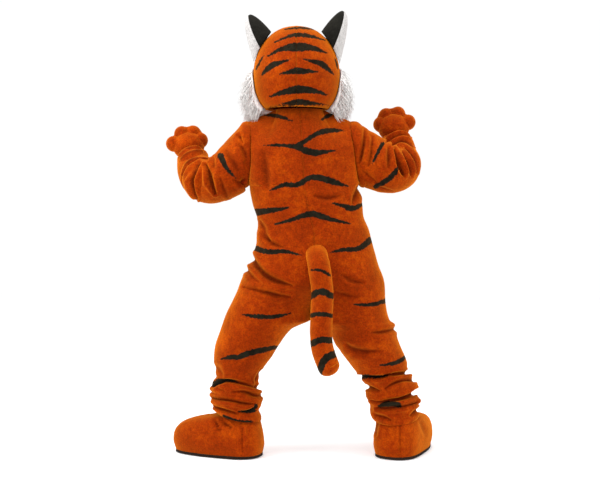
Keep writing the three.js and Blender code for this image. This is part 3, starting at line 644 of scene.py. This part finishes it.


# Dyed polyester plush, 3 mm pile: the lying nap shows as brushed patches and its standing tips glow at edges; painted
# shade darkens it in creases and seams.
ORANGE_PLUSH = pile(
    "orange short-pile plush",
    [(0.0, "#6e1701"), (1.0, "#b34402"), (0.5, "#8d2701")],
    6.0, 3.0, 0.85, "#ff9a20", striped=True,
)
BLACK_PLUSH = pile("black short-pile plush", [(0.0, "#0e0e0c"), (1.0, "#22211d")], 5.0, 2.0, 0.25, "#6a655c")
# White faux fur: long soft fibres, their tone streaked lighter and darker along the fall.
WHITE_FUR = pile("white faux fur", [(0.0, "#eae7e4"), (1.0, "#faf8f6")], 4.0, 0.8, 0.8, "#ffffff", strand=6)
WHITE_PLUSH = pile("white short-pile plush", [(0.0, "#b2afad"), (1.0, "#c6c3c1")], 5.0, 2.0, 0.15, "#ffffff")
# Pressed EVA sheet under the boots: dark, matt and finely pitted.
SOLE_SHEET = pile("dark pressed sole sheet", [(0.0, "#1d1613"), (1.0, "#33261f")], 3.0, 0.6, 0.0, "#ffffff", roughness=0.75)


def gloss(name, stops, roughness, attribute=None):
    """Moulded or glazed plastic with a clear skin; the colour follows an attribute or a faint cloud."""
    material = bpy.data.materials.new(name)
    material.use_nodes = True
    tree = material.node_tree
    shader = tree.nodes["Principled BSDF"]
    shader.inputs["Roughness"].default_value = roughness
    shader.inputs["Coat Weight"].default_value = 0.4
    if attribute:
        value = add(tree, "ShaderNodeAttribute", attribute_name=attribute).outputs["Fac"]
    else:
        place = add(tree, "ShaderNodeTexCoord").outputs["Object"]
        value = add(tree, "ShaderNodeTexNoise", [("Vector", place)], Scale=120.0).outputs["Fac"]
    tree.links.new(ramp_of(tree, value, stops), shader.inputs["Base Color"])
    return material


EYE_SHELL = gloss(
    "glazed eye",
    [(0.0, "#0a0a0a"), (1.0, "#e9e6df"), (0.34, "#0a0a0a"), (0.37, "#8a5a10"), (0.6, "#c9952a"), (0.64, "#e9e6df")],
    0.12, attribute="stripe",
)
NOSE_SKIN = gloss("moulded black nose", [(0.3, "#100f0f"), (0.7, "#1d1b1b")], 0.35)


# ---- stripes and folds --------------------------------------------------------------------------------
# Each stripe: points across, height and half-width, in millimetres as laid out flat from behind.
BACK_STRIPES = [
    [(150, 1425, 1), (100, 1424, 9), (30, 1400, 1)],
    [(-140, 1432, 1), (-125, 1427, 8), (-85, 1403, 1)],
    [(150, 1300, 1), (100, 1300, 5), (60, 1300, 5), (12, 1292, 10), (-60, 1345, 6), (-110, 1362, 12), (-185, 1361, 1)],
    [(12, 1292, 10), (-50, 1268, 14), (-90, 1270, 9), (-150, 1280, 1)],
    [(125, 1112, 1), (62, 1140, 9), (12, 1130, 9), (-33, 1166, 10), (-75, 1168, 10), (-125, 1152, 14), (-200, 1130, 1)],
    [(182, 1021, 14), (140, 1028, 10), (100, 1031, 9), (48, 1042, 1)],
    [(-135, 1060, 1), (-185, 1048, 8), (-215, 1034, 12), (-262, 1056, 4)],
    [(104, 972, 1), (50, 985, 6), (0, 1004, 8), (-50, 1020, 12), (-120, 994, 9), (-210, 974, 1)],
    [(187, 872, 10), (125, 853, 9), (70, 862, 7), (-10, 842, 1)],
    [(-128, 855, 1), (-187, 868, 8), (-245, 866, 9), (-290, 905, 12)],
    [(-220, 639, 1), (-291, 634, 7), (-346, 649, 7), (-372, 660, 9)],
    [(240, 596, 1), (190, 588, 8), (110, 584, 8), (40, 600, 1)],
    [(96, 460, 6), (181, 442, 12), (236, 427, 10), (259, 414, 10), (292, 418, 8), (329, 410, 1)],
    [(365, 303, 8), (344, 309, 8), (336, 322, 7), (307, 322, 4), (259, 312, 1)],
    [(259, 188, 1), (218, 186, 4), (192, 197, 7), (185, 216, 5)],
    [(322, 172, 3), (285, 153, 8), (248, 144, 8), (196, 147, 2)],
    [(-333, 383, 1), (-393, 390, 7), (-419, 401, 9), (-441, 420, 5)],
    [(-246, 331, 8), (-274, 340, 9), (-315, 333, 6), (-370, 340, 1)],
    [(-333, 209, 6), (-352, 220, 10), (-393, 220, 12), (-422, 210, 6)],
]
FRONT_STRIPES = [
    [(190, 1240, 9), (120, 1226, 9), (50, 1236, 1)],
    [(-220, 1230, 9), (-140, 1216, 9), (-70, 1228, 1)],
    [(190, 1100, 9), (110, 1092, 10), (30, 1104, 1)],
    [(-240, 1092, 9), (-150, 1086, 10), (-60, 1100, 1)],
    [(185, 960, 9), (100, 952, 10), (10, 962, 1)],
    [(-280, 950, 9), (-200, 944, 10), (-110, 958, 1)],
    [(260, 760, 9), (180, 744, 10), (90, 756, 1)],
    [(-345, 740, 9), (-260, 728, 10), (-170, 742, 1)],
    [(340, 520, 9), (270, 510, 10), (190, 520, 1)],
    [(-410, 520, 9), (-330, 508, 10), (-260, 520, 1)],
]
SLEEVE_STRIPES = {
    "left": [[(329, 1255, 12), (318, 1229, 10), (299, 1196, 6), (266, 1162, 1)]],
    "right": [
        [(-342, 1305, 7), (-322, 1270, 5), (-300, 1225, 1)],
        [(-405, 1218, 3), (-389, 1177, 9), (-356, 1151, 10), (-315, 1129, 8)],
    ],
}
TAIL_STRIPES = [
    [(-50, 782, 3), (-84, 783, 5), (-124, 760, 4)],
    [(-40, 668, 11), (-85, 697, 12), (-132, 674, 12)],
    [(-40, 590, 7), (-85, 600, 8), (-132, 590, 7)],
    [(-36, 468, 12), (-85, 491, 12), (-132, 488, 12)],
    [(-80, 350, 12), (-100, 413, 14), (-160, 436, 14)],
]
HEAD_STRIPES = [
    [(62, 1778, 1), (4, 1786, 4), (-62, 1778, 1)],
    [(104, 1724, 1), (45, 1752, 4), (4, 1757, 9), (-40, 1752, 5), (-104, 1732, 1)],
    [(133, 1668, 1), (70, 1702, 9), (8, 1706, 18), (-54, 1704, 10), (-112, 1680, 1)],
    [(160, 1588, 1), (125, 1626, 13), (90, 1640, 8), (40, 1653, 1)],
    [(-14, 1655, 1), (-60, 1646, 7), (-95, 1634, 13), (-140, 1592, 1)],
    [(84, 1594, 1), (40, 1604, 7), (8, 1608, 15), (-30, 1606, 8), (-75, 1602, 1)],
    [(128, 1500, 1), (62, 1522, 11), (2, 1532, 17), (-62, 1526, 9), (-116, 1505, 1)],
    [(128, 1458, 4), (95, 1464, 5), (60, 1469, 7), (0, 1480, 13), (-60, 1470, 7), (-95, 1465, 5), (-118, 1460, 4)],
    [(151, 1668, 1), (173, 1634, 3), (181, 1612, 1)],
    [(-143, 1660, 1), (-152, 1638, 3), (-156, 1616, 1)],
]
# Brow and cheek stripes, guessed: across from the face's middle and height.
FACE_STRIPES = [
    [(-44, 1712, 1), (0, 1722, 7), (44, 1712, 1)],
    [(-34, 1686, 1), (0, 1694, 6), (34, 1686, 1)],
    [(0, 1740, 3), (0, 1676, 3)],
    [(150, 1640, 8), (112, 1654, 1)],
    [(-150, 1640, 8), (-112, 1654, 1)],
]
# Each crease: its depth, then points across, height and half-width, laid out as the stripes are.
SLEEVE_CREASES = {
    "left": [
        (14, [(414, 1225, 5), (440, 1185, 8), (450, 1155, 8), (446, 1118, 7), (429, 1077, 4)]),
        (13, [(388, 1218, 4), (375, 1177, 8), (368, 1140, 8), (351, 1099, 4)]),
        (7, [(381, 1235, 3), (422, 1229, 6), (459, 1192, 7), (474, 1155, 3)]),
        (6, [(381, 1244, 3), (414, 1246, 6), (448, 1236, 6), (474, 1214, 6), (488, 1177, 3)]),
        (6, [(407, 1274, 3), (440, 1274, 6), (470, 1262, 6), (492, 1240, 3)]),
        (5, [(414, 1292, 3), (444, 1292, 6), (474, 1281, 6), (500, 1259, 3)]),
        (3, [(422, 1303, 3), (470, 1305, 5), (500, 1288, 3)]),
        (5, [(359, 1244, 5), (362, 1203, 9), (359, 1177, 5)]),
        (4, [(407, 1192, 5), (411, 1155, 8), (418, 1103, 4)]),
        (5, [(307, 1270, 8), (274, 1225, 14), (259, 1196, 7)]),
        (6, [(262, 1325, 6), (233, 1281, 10), (214, 1240, 10), (207, 1177, 6)]),
        (8, [(248, 1333, 6), (236, 1311, 4)]),
        (4, [(214, 1177, 5), (248, 1138, 8), (270, 1155, 4)]),
        (5, [(330, 1160, 4), (318, 1120, 8), (300, 1080, 4)]),
    ],
    "right": [
        (7, [(-267, 1362, 4), (-267, 1303, 8), (-256, 1251, 8), (-244, 1222, 4)]),
        (5, [(-300, 1333, 5), (-296, 1288, 9), (-293, 1244, 9), (-285, 1214, 5)]),
        (12, [(-393, 1281, 4), (-408, 1229, 7), (-426, 1185, 7), (-432, 1173, 4)]),
        (8, [(-426, 1274, 3), (-445, 1236, 6), (-459, 1192, 6), (-463, 1170, 3)]),
        (9, [(-437, 1288, 3), (-463, 1262, 6), (-482, 1229, 6), (-485, 1185, 3)]),
        (8, [(-382, 1299, 3), (-411, 1322, 6), (-445, 1318, 6), (-470, 1292, 3)]),
        (6, [(-356, 1311, 3), (-389, 1336, 6), (-426, 1348, 6), (-456, 1336, 3)]),
        (5, [(-359, 1340, 3), (-389, 1362, 5), (-419, 1370, 5), (-445, 1362, 3)]),
        (6, [(-367, 1288, 5), (-370, 1244, 9), (-367, 1207, 5)]),
        (4, [(-259, 1196, 4), (-289, 1170, 8), (-319, 1144, 4)]),
        (3, [(-333, 1125, 6), (-385, 1110, 3)]),
    ],
}
BODY_CREASES = [
    (5, [(149, 1264, 9), (141, 1172, 18), (136, 1120, 8)]),
    (5, [(166, 985, 5), (150, 950, 10), (128, 905, 4)]),
    (6, [(-243, 1122, 8), (-228, 1084, 10), (-220, 1061, 5)]),
    (6, [(152, 921, 8), (116, 891, 9), (71, 876, 4)]),
    (10, [(205, 838, 8), (178, 790, 11), (142, 756, 11), (91, 732, 10), (31, 715, 4)]),
    (7, [(226, 790, 6), (197, 752, 10), (160, 726, 4)]),
    (6, [(237, 710, 4), (152, 690, 8), (91, 674, 8), (41, 669, 4)]),
    (5, [(-60, 1090, 5), (-110, 1078, 10), (-165, 1090, 5)]),
    (5, [(-175, 760, 5), (-215, 735, 10), (-262, 728, 5)]),
    (4, [(-150, 690, 5), (-196, 672, 9), (-240, 668, 4)]),
    (8, [(362, 296, 6), (344, 309, 7), (307, 321, 6), (259, 312, 6), (210, 298, 6), (181, 290, 6), (162, 286, 6)]),
    (7, [(277, 272, 4), (229, 274, 7), (192, 257, 7), (166, 257, 6)]),
    (9, [(368, 246, 6), (351, 242, 6), (299, 238, 6), (255, 227, 6), (233, 222, 6), (196, 220, 3)]),
    (4, [(340, 283, 6), (314, 272, 3)]),
    (6, [(359, 209, 4), (329, 198, 5), (285, 186, 5), (259, 179, 3)]),
    (6, [(259, 188, 3), (218, 188, 5), (192, 201, 5), (185, 216, 3)]),
    (4, [(344, 372, 10), (322, 338, 5)]),
    (5, [(162, 368, 3), (188, 316, 6), (181, 294, 4)]),
    (6, [(-195, 470, 6), (-207, 453, 12), (-259, 438, 12), (-333, 443, 5)]),
    (9, [(-245, 338, 4), (-296, 331, 6), (-352, 335, 6), (-374, 346, 3)]),
    (9, [(-455, 353, 6), (-441, 351, 6), (-400, 346, 6), (-356, 342, 3)]),
    (7, [(-274, 294, 6), (-304, 286, 6), (-333, 275, 3)]),
    (7, [(-356, 286, 3), (-393, 309, 6), (-433, 323, 6), (-463, 323, 6), (-480, 320, 5)]),
    (9, [(-490, 276, 6), (-478, 268, 6), (-463, 257, 6), (-426, 242, 6), (-370, 235, 6), (-333, 225, 5), (-296, 234, 3)]),
    (6, [(-319, 172, 6), (-356, 164, 6), (-378, 153, 4)]),
    (8, [(-326, 205, 5), (-356, 201, 6), (-408, 207, 6), (-445, 212, 6), (-489, 227, 5)]),
    (7, [(-463, 172, 4), (-489, 194, 7), (-500, 198, 5)]),
    (6, [(-391, 534, 7), (-345, 522, 8), (-300, 520, 4)]),
]
FRONT_CREASES = [
    (6, [(120, 1290, 6), (84, 1230, 14), (70, 1160, 7)]),
    (6, [(-150, 1300, 6), (-118, 1236, 14), (-104, 1170, 7)]),
    (7, [(150, 900, 5), (90, 874, 9), (30, 868, 4)]),
    (7, [(-230, 896, 5), (-170, 872, 9), (-110, 866, 4)]),
    (7, [(-60, 720, 9), (20, 690, 10), (110, 690, 4)]),
    (7, [(-80, 715, 9), (-170, 680, 10), (-250, 684, 4)]),
    (6, [(250, 505, 5), (290, 470, 10), (330, 462, 5)]),
    (6, [(-300, 508, 5), (-350, 474, 10), (-400, 470, 5)]),
]
BOOT_CREASES = {
    "left": [
        (7, [(362, 179, 5), (351, 142, 7), (340, 112, 4)]),
        (7, [(336, 168, 4), (314, 138, 7), (288, 120, 4)]),
        (4, [(373, 186, 4), (373, 160, 7), (359, 123, 4)]),
        (3, [(240, 120, 4), (243, 60, 5), (242, 20, 4)]),
    ],
    "right": [
        (3, [(-504, 142, 5), (-518, 112, 8), (-526, 86, 4)]),
        (3, [(-419, 134, 4), (-419, 70, 5), (-419, 18, 4)]),
        (4, [(-330, 150, 4), (-316, 118, 8), (-318, 90, 4)]),
    ],
}


# ---- pieces -------------------------------------------------------------------------------------------
def displaced(points, out, height, closed=False):
    """Points moved along their normals by a height."""
    return points + grid_normals(points, out, closed) * height[..., None]


def suit_panel(name, face):
    """One long panel from the shoulder to the ankle."""
    side, lowest = SIDES[name], LEGS[name][-1][0]
    step, columns = (4.0, 84) if face > 0 else (6.0, 56)
    arm = ARMHOLE["middle"] + ARMHOLE["height"] / 2 * np.cos(np.linspace(0, math.pi, 60))
    z = np.concatenate([arm, np.arange(arm[-1] - step, lowest, -step), [lowest]])[:, None]
    t = np.linspace(0.0002, 0.9998, columns)[None, :]
    points = suit_point(name, face, t, z)
    flat = seen_flat(points)
    leg = z < CROTCH_HEIGHT
    marks = marks_of(flat, BACK_STRIPES)
    height = relief(flat, BODY_CREASES) + 1.3 * wander(points, 130.0) + 0.5 * wander(points, 38.0)
    height = height - 2.5 * np.exp(-((t * 230 / 5) ** 2)) - 2.0 * np.exp(-(((1 - t) * 230 / 5) ** 2))
    if face < 0:
        away = smooth((0.95 - t) / 0.4) * np.where(leg, smooth((t - 0.05) / 0.4), 1.0)
        marks = np.maximum(marks - 40 * away, marks_of(points[..., ::2], FRONT_STRIPES))
        height = height + relief(points[..., ::2], FRONT_CREASES)
    normals = grid_normals(points, side * face)
    normals[:, 0, 0] *= leg[:, 0]
    normals[:, 0, 1] *= ~leg[:, 0]
    normals[:, -1, 1] = 0
    normals = unit(normals)
    # The depth of troughs, seam dips included, goes to the shader as painted shade in creases and seams.
    painted_crease_shade = np.maximum(-height, 0)
    hem = np.clip((lowest + 14 - z) / 14, 0, 1)
    height = height * smooth((SHOULDER_HEIGHT + 10 - z) / 40) - 7.0 * hem**2
    label = ("back_" if face > 0 else "front_") + name
    out = side * face
    points = points + normals * height[..., None]
    points[:, 0, 0] -= side * 0.4 * ~leg[:, 0]
    piece = grid_piece(label, points, out, ORANGE_PLUSH, [label], PLUSH, marks, painted_crease_shade)


def sleeve(name):
    """A set-in sleeve from the armhole to the wrist."""
    u, ring = np.meshgrid(np.linspace(0, 1, 145), np.linspace(0, 8, 150))
    points = sleeve_point(name, u, ring)
    out = -SIDES[name]
    normals = grid_normals(points, out, True)
    flat = seen_flat(points)
    marks = marks_of(flat, SLEEVE_STRIPES[name]) - 25 * smooth((-normals[..., 1] - 0.2) / 0.6)
    height = relief(flat, SLEEVE_CREASES[name]) + 1.3 * wander(points, 110.0) + 0.5 * wander(points, 34.0)
    height = height * smooth(ring * 46 / 30) - 2.5 * np.exp(-((ring * 46 / 6) ** 2))
    height = height + 8.0 * np.exp(-(((ring - 0.5) / 0.3) ** 2)) * smooth(np.cos(u * 2 * math.pi))
    label = "sleeve_" + name
    points = points + normals * height[..., None]
    # The depth of troughs, the armhole seam's dip included, goes to the shader as painted shade in creases.
    painted_crease_shade = np.maximum(-height, 0)
    piece = grid_piece(label, points, out, ORANGE_PLUSH, [label], PLUSH, marks, painted_crease_shade)


def mitt(name):
    """A padded four-finger mitt."""
    u, v = np.meshgrid(np.linspace(0, 1, 97), np.linspace(0, 1, 90))
    points = mitt_point(name, u, v)
    palm = 1 - WRIST["share"]
    height = (1.2 * wander(points, 70.0) - 2.0 * np.exp(-(((v - palm) * 160 / 6) ** 2))) * smooth(v / 0.1)
    points = displaced(points, -1, height, True)
    label = "mitt_" + name
    none = np.full(u.shape, -60.0)
    # The last argument, the depth of troughs with the wrist seam's dip, becomes painted shade in the shader.
    piece = grid_piece(label, points, -1, ORANGE_PLUSH, [label], 4.0, none, np.maximum(-height, 0))


def boot(name):
    """A plush boot over foam, and its sole."""
    turn, z = np.meshgrid(np.linspace(0, 2 * math.pi, 129), np.linspace(BOOT_RINGS[0][0], BOOT_RINGS[-1][0], 60))
    points = boot_point(name, turn, z)
    height = relief(seen_flat(points), BOOT_CREASES[name]) * smooth((BOOT_RINGS[-1][0] - z) / 30)
    height = height + 1.2 * wander(points, 90.0)
    label = "boot_" + name
    none = np.full(z.shape, -60.0)
    points = displaced(points, 1, height, True)
    # The last argument, the depth of the crease troughs, becomes painted shade in the shader.
    piece = grid_piece(label, points, 1, ORANGE_PLUSH, [label], 8.0, none, np.maximum(-height, 0))
    turn = np.linspace(0, 2 * math.pi, 97)
    ring = boot_point(name, turn, np.full_like(turn, BOOT_RINGS[0][0]))
    middle = ring.mean(axis=0)
    levels = [(0.0, 0.0), (0.9, 0.0), (1.0, 3.0), (1.0, SOLE - 1), (0.98, SOLE), (0.0, SOLE)]
    rows = [np.concatenate([(middle + (ring - middle) * share)[:, :2], np.full((97, 1), z)], axis=1) for share, z in levels]
    label = "sole_" + name
    grid_piece(label, np.array(rows), 1, SOLE_SHEET, [label])


def head_half(name):
    """Half of the foam head under its plush."""
    side = SIDES[name]
    lean = np.linspace(0, 1, 100) ** 0.8
    z = HEAD[0][0] + (HEAD[-1][0] - HEAD[0][0]) * np.sin(lean * math.pi / 2)
    turn = np.linspace(0, math.pi, 97)[None, :]
    points = head_point(side, turn, z[:, None])
    height = 1.2 * wander(points, 90.0) - 2.0 * np.exp(-(((np.sin(turn)) * 165 / 5) ** 2))
    height = height * smooth((HEAD[-1][0] - z[:, None]) / 30)
    moved = displaced(points, -side, height)
    moved[-1] = points[-1]
    moved[:, [0, -1], 0] = HEAD_X
    moved[..., 0] += side * SEAM_GAP / 2
    face = stack(points[..., 0] - HEAD_X, 0, points[..., 2])[..., ::2]
    marks = np.where(points[..., 1] > -40, marks_of(seen_flat(points), HEAD_STRIPES), -60.0)
    marks = np.where(points[..., 1] < -40, marks_of(face, FACE_STRIPES), marks)
    label = "head_" + name
    piece = grid_piece(label, moved, -side, ORANGE_PLUSH, [label], 12.0, marks)


def face_point(across, z):
    """A place on the face: millimetres across from its middle, and height."""
    wide = column(HEAD, z, 1)
    turn = math.pi - np.arcsin(np.minimum(0.98, np.abs(across) / wide))
    return head_point(np.sign(across), turn, z)


def muzzle_swell(across, z):
    """The muzzle's height over the face: an oval dome parted into two lobes below the nose."""
    share = np.hypot(across / MUZZLE["across"], (z - MUZZLE["z"]) / MUZZLE["up"])
    part = 9.0 * np.exp(-((across / 7) ** 2)) * smooth((MUZZLE["z"] + 16 - z) / 22)
    lips = 10.0 * np.exp(-(((z - MUZZLE["z"] + 26 - np.abs(across) * 0.28) / 5) ** 2)) * smooth((64 - np.abs(across)) / 20)
    dome = np.sqrt(np.clip(1 - share**2, 0, 1))
    return MUZZLE["swell"] * dome - (part + lips) * smooth(dome / 0.35)


def nose_base(across, z):
    """The muzzle's outer face, on which the nose lies."""
    return face_point(across, z) + stack(0, -muzzle_swell(0 * across, z + 0 * across) - 4.0, 0)


def patch(label, base, size, x, height_of, material, spokes=72, rings=22):
    """A padded oval on a base surface(across, z): its dome over it, its back just off it."""
    share = np.concatenate([np.sin(np.linspace(0, math.pi / 2, rings)), [1.0, 0.5, 0.0]])[:, None]
    turn = np.linspace(0, 2 * math.pi, spokes + 1)[None, :]
    a = x + size["across"] * share * np.cos(turn)
    b = size["z"] + size["up"] * share * np.sin(turn)
    step = 0.4
    normal = unit(np.cross(base(a + step, b) - base(a - step, b), base(a, b + step) - base(a, b - step)))
    back = np.arange(len(share))[:, None] >= rings
    high = np.where(back, 2.5, 4.0 + height_of(a, b, share))
    points = base(a, b) + normal * high[..., None]
    return grid_piece(label, points, 0, material, [label], marks=share + 0 * a)


def face():
    """Muzzle, nose and eyes, plain and nobody's."""
    swell = lambda a, b, share: muzzle_swell(a, b)
    patch("muzzle", face_point, MUZZLE, 0.0, swell, WHITE_PLUSH)
    dome = lambda size: lambda a, b, share: size["swell"] * np.sqrt(np.clip(1 - share**2.4, 0, 1))
    patch("nose", nose_base, NOSE, 0.0, dome(NOSE), NOSE_SKIN)
    for name, side in SIDES.items():
        patch("eye_" + name, face_point, EYES, side * EYES["x"], dome(EYES), EYE_SHELL)


def inside_head(points):
    """Whether points lie within the head."""
    wide = column(HEAD, points[..., 2], 1)
    reach = np.where(points[..., 1] > 0, column(HEAD, points[..., 2], 2), column(HEAD, points[..., 2], 3))
    share = np.hypot((points[..., 0] - HEAD_X) / np.maximum(wide, 1), points[..., 1] / np.maximum(reach, 1))
    return (share < 1) & (points[..., 2] < HEAD[-1][0])


def ear_point(name, p, q, swell, rim):
    """A leaf-shaped ear: p runs across from its front edge, q from the head to the tip."""
    side = SIDES[name]
    foot = head_point(side, np.array(math.radians(EAR["turn"])), np.array(EAR["height"]))
    length = np.array(EAR_TIPS[name]) - foot
    axis = unit(length)
    aim = math.radians(EAR["facing"])
    facing = np.array([side * math.sin(aim), -math.cos(aim), 0.0])
    facing = unit(facing - axis * (facing @ axis))
    across = np.cross(axis, facing) * side
    outline = (0.86 + 0.9 * q) * (1 - q**1.7)
    round_off = np.sqrt(np.clip(np.sin(math.pi * p), 0, 1)) * (1 - q) ** 0.5
    aside = (-(p - 0.5) * EAR["wide"] * outline)[..., None] * across
    place = foot + aside + (rim + swell * round_off)[..., None] * facing
    low = np.full(place.shape[:-1], 60.0)
    for _ in range(180):
        low = np.where(inside_head(place + low[..., None] * axis), low, low - 1)
    low = np.maximum(low, -120) + EAR["clear"]
    return place + (low + (np.linalg.norm(length) - low) * q)[..., None] * axis


def ear(name, layer):
    """The black back or the white front of an ear."""
    side = -1.0 if layer == "back" else 1.0
    p, q = np.meshgrid(0.5 - 0.5 * np.cos(np.linspace(0, math.pi, 33)), np.linspace(0, 0.985, 48))
    outer = ear_point(name, p, q, side * EAR["black" if layer == "back" else "white"], side * EAR["rim"])
    inner = ear_point(name, p, q, 0.0, side * 0.2)
    label = f"ear_{layer}_{name}"
    finish, slot = (BLACK_PLUSH, "black_plush") if layer == "back" else (WHITE_PLUSH, "white_fur")
    grid_piece(label, pillow(outer, inner), 0, finish, [label])


def ruff_point(side, p, q, share):
    """The cheek fur's reach: p round the head from behind, q downwards, share 0 at the skin and 1 at the tips."""
    turn = np.radians(RUFF["from"] + (RUFF["to"] - RUFF["from"]) * p)
    z = RUFF["top"] + (RUFF["bottom"] - RUFF["top"]) * q - 62 * (1 - q) * np.abs(2 * p - 1) ** 2.4
    base = head_point(side, turn, z)
    out = unit(base - stack(HEAD_X, 0, z))
    full = np.sin(math.pi * np.clip(0.06 + 0.88 * p, 0, 1)) ** 0.6 * (0.12 + 0.88 * smooth(q * 1.6))
    place = base + out * (5 + share * (4 + RUFF["reach"] * full))[..., None]
    place[..., 2] -= RUFF["hang"] * q * q * share
    return place, out


def ruff(name):
    """White cheek fur: a soft under-layer and tapered locks that fall outwards and down."""
    side = SIDES[name]
    q, p = np.meshgrid(np.linspace(0, 1, 60), np.linspace(0, 1, 64), indexing="ij")
    outer = ruff_point(side, p, q, 0.6 + 0 * p)[0]
    outer = outer + 1.6 * stack(0, 0, 1) * (wander(outer, 26.0) + wander(outer, 11.0))[..., None]
    inner = ruff_point(side, p, q, 0 * p)[0]
    grid_piece("ruff_" + name, pillow(outer, inner), 0, WHITE_FUR, ["ruff_" + name])
    seeds = np.random.default_rng(7 if side > 0 else 8)
    count = 3000
    p, q = seeds.uniform(0, 1, count), seeds.uniform(0, 1, count) ** 0.8
    roots, out = ruff_point(side, p, q, np.full(count, 0.5))
    sway = seeds.normal(0, 0.17, (count, 3))
    ways = unit(out * (0.7 - 0.3 * q)[:, None] + np.array([0, 0.14, -0.75]) + sway)
    lengths = seeds.uniform(44, 78, count) * (0.7 + 0.3 * np.sin(math.pi * p))
    locks("ruff_locks_" + name, roots, ways, lengths, 2.6, 0.3, WHITE_FUR)


def tail():
    """A stuffed tube down from the seat, with bands."""
    at = np.concatenate([[0.0], np.linspace(0.02, 7.2, 114), 8 - 0.8 * np.cos(np.linspace(0, math.pi / 2, 14))])
    place = stack(column([(k, *row[1:]) for k, row in enumerate(TAIL)], at, 1), column(TAIL, at, 2), column(TAIL, at, 3))
    run = unit(np.gradient(place, axis=0))
    up = unit(np.array([0, 0.2, 1.0]) - run * (run @ np.array([0, 0.2, 1.0]))[:, None])
    across = np.cross(run, up)
    close = np.sqrt(np.clip(1 - (np.clip(at - 7.2, 0, 0.8) / 0.8) ** 2, 0, 1))
    radius = TAIL_RADIUS * close * np.where(at == 0, 0.0, 1.0)
    turn = np.linspace(0, 2 * math.pi, 65)
    rim = np.cos(turn)[None, :, None] * across[:, None] + np.sin(turn)[None, :, None] * up[:, None]
    points = place[:, None] + radius[:, None, None] * rim
    height = (1.6 * wander(points, 80.0) + 0.6 * wander(points, 27.0)) * close[:, None]
    points = points + rim * height[..., None] * (radius > 0)[:, None, None]
    marks = marks_of(seen_flat(points), TAIL_STRIPES)
    piece = grid_piece("tail", points, 0, ORANGE_PLUSH, ["tail"], marks=marks)


for side_name in SIDES:
    suit_panel(side_name, 1)
    suit_panel(side_name, -1)
    sleeve(side_name)
    mitt(side_name)
    boot(side_name)
    head_half(side_name)
    ear(side_name, "back")
    ear(side_name, "front")
    ruff(side_name)
tail()
face()

# ---- floor, light and camera --------------------------------------------------------------------------
floor_mesh = bpy.data.meshes.new("floor")
floor_mesh.from_pydata([(-9, -9, FLOOR), (9, -9, FLOOR), (9, 9, FLOOR), (-9, 9, FLOOR)], [], [(0, 1, 2, 3)])
floor = bpy.data.objects.new("floor", floor_mesh)
bpy.context.scene.collection.objects.link(floor)
floor_finish = bpy.data.materials.new("white paper")
floor_finish.use_nodes = True
paper = floor_finish.node_tree.nodes["Principled BSDF"]
paper.inputs["Base Color"].default_value = (0.9, 0.9, 0.9, 1)
paper.inputs["Roughness"].default_value = 0.9
paper.inputs["Emission Color"].default_value = (1, 1, 1, 1)
paper.inputs["Emission Strength"].default_value = 0.2  # a floor lit from below, as in a white cove
floor_mesh.materials.append(floor_finish)

# A lit white backdrop before the costume; the room behind the camera is dimmer, so the sides glow.
world = bpy.data.worlds.new("studio")
bpy.context.scene.world = world
world.use_nodes = True
tree = world.node_tree
heading = add(tree, "ShaderNodeSeparateXYZ", [("Vector", add(tree, "ShaderNodeTexCoord").outputs["Generated"])])
dim = spread(tree, heading.outputs["Y"], -0.3, 0.9, 1.02, ROOM_LIGHT)
tree.links.new(dim, tree.nodes["Background"].inputs["Strength"])
tree.nodes["Background"].inputs["Color"].default_value = (1, 1, 1, 1)
for name, place, size, power in (
    ("left side", (2.4, 1.0, 0.9), 1.6, 50),
    ("right side", (-2.6, 0.8, 0.7), 1.6, 32),
    ("top", (0.3, 0.9, 2.6), 1.6, 70),
    ("front", (0.8, -3.4, 1.6), 2.6, 22),
):
    light = bpy.data.lights.new(name, "AREA")
    light.size = size
    light.energy = power
    lamp = bpy.data.objects.new(name, light)
    lamp.location = place
    lamp.rotation_euler = (-(lamp.location - floor.location)).to_track_quat("-Z", "Y").to_euler()
    bpy.context.scene.collection.objects.link(lamp)

bpy.context.scene.view_settings.view_transform = "Standard"
camera_data = bpy.data.cameras.new("camera")
camera_data.lens = 62.0
camera = bpy.data.objects.new("camera", camera_data)
camera.location = (0, VIEW_DISTANCE / 1000, (VIEW_HEIGHT - SHOULDER_HEIGHT) / 1000)
camera.rotation_euler = (math.radians(90 - 1.8), 0, math.pi)
bpy.context.scene.collection.objects.link(camera)
bpy.context.scene.camera = camera

bpy.context.view_layer.update()
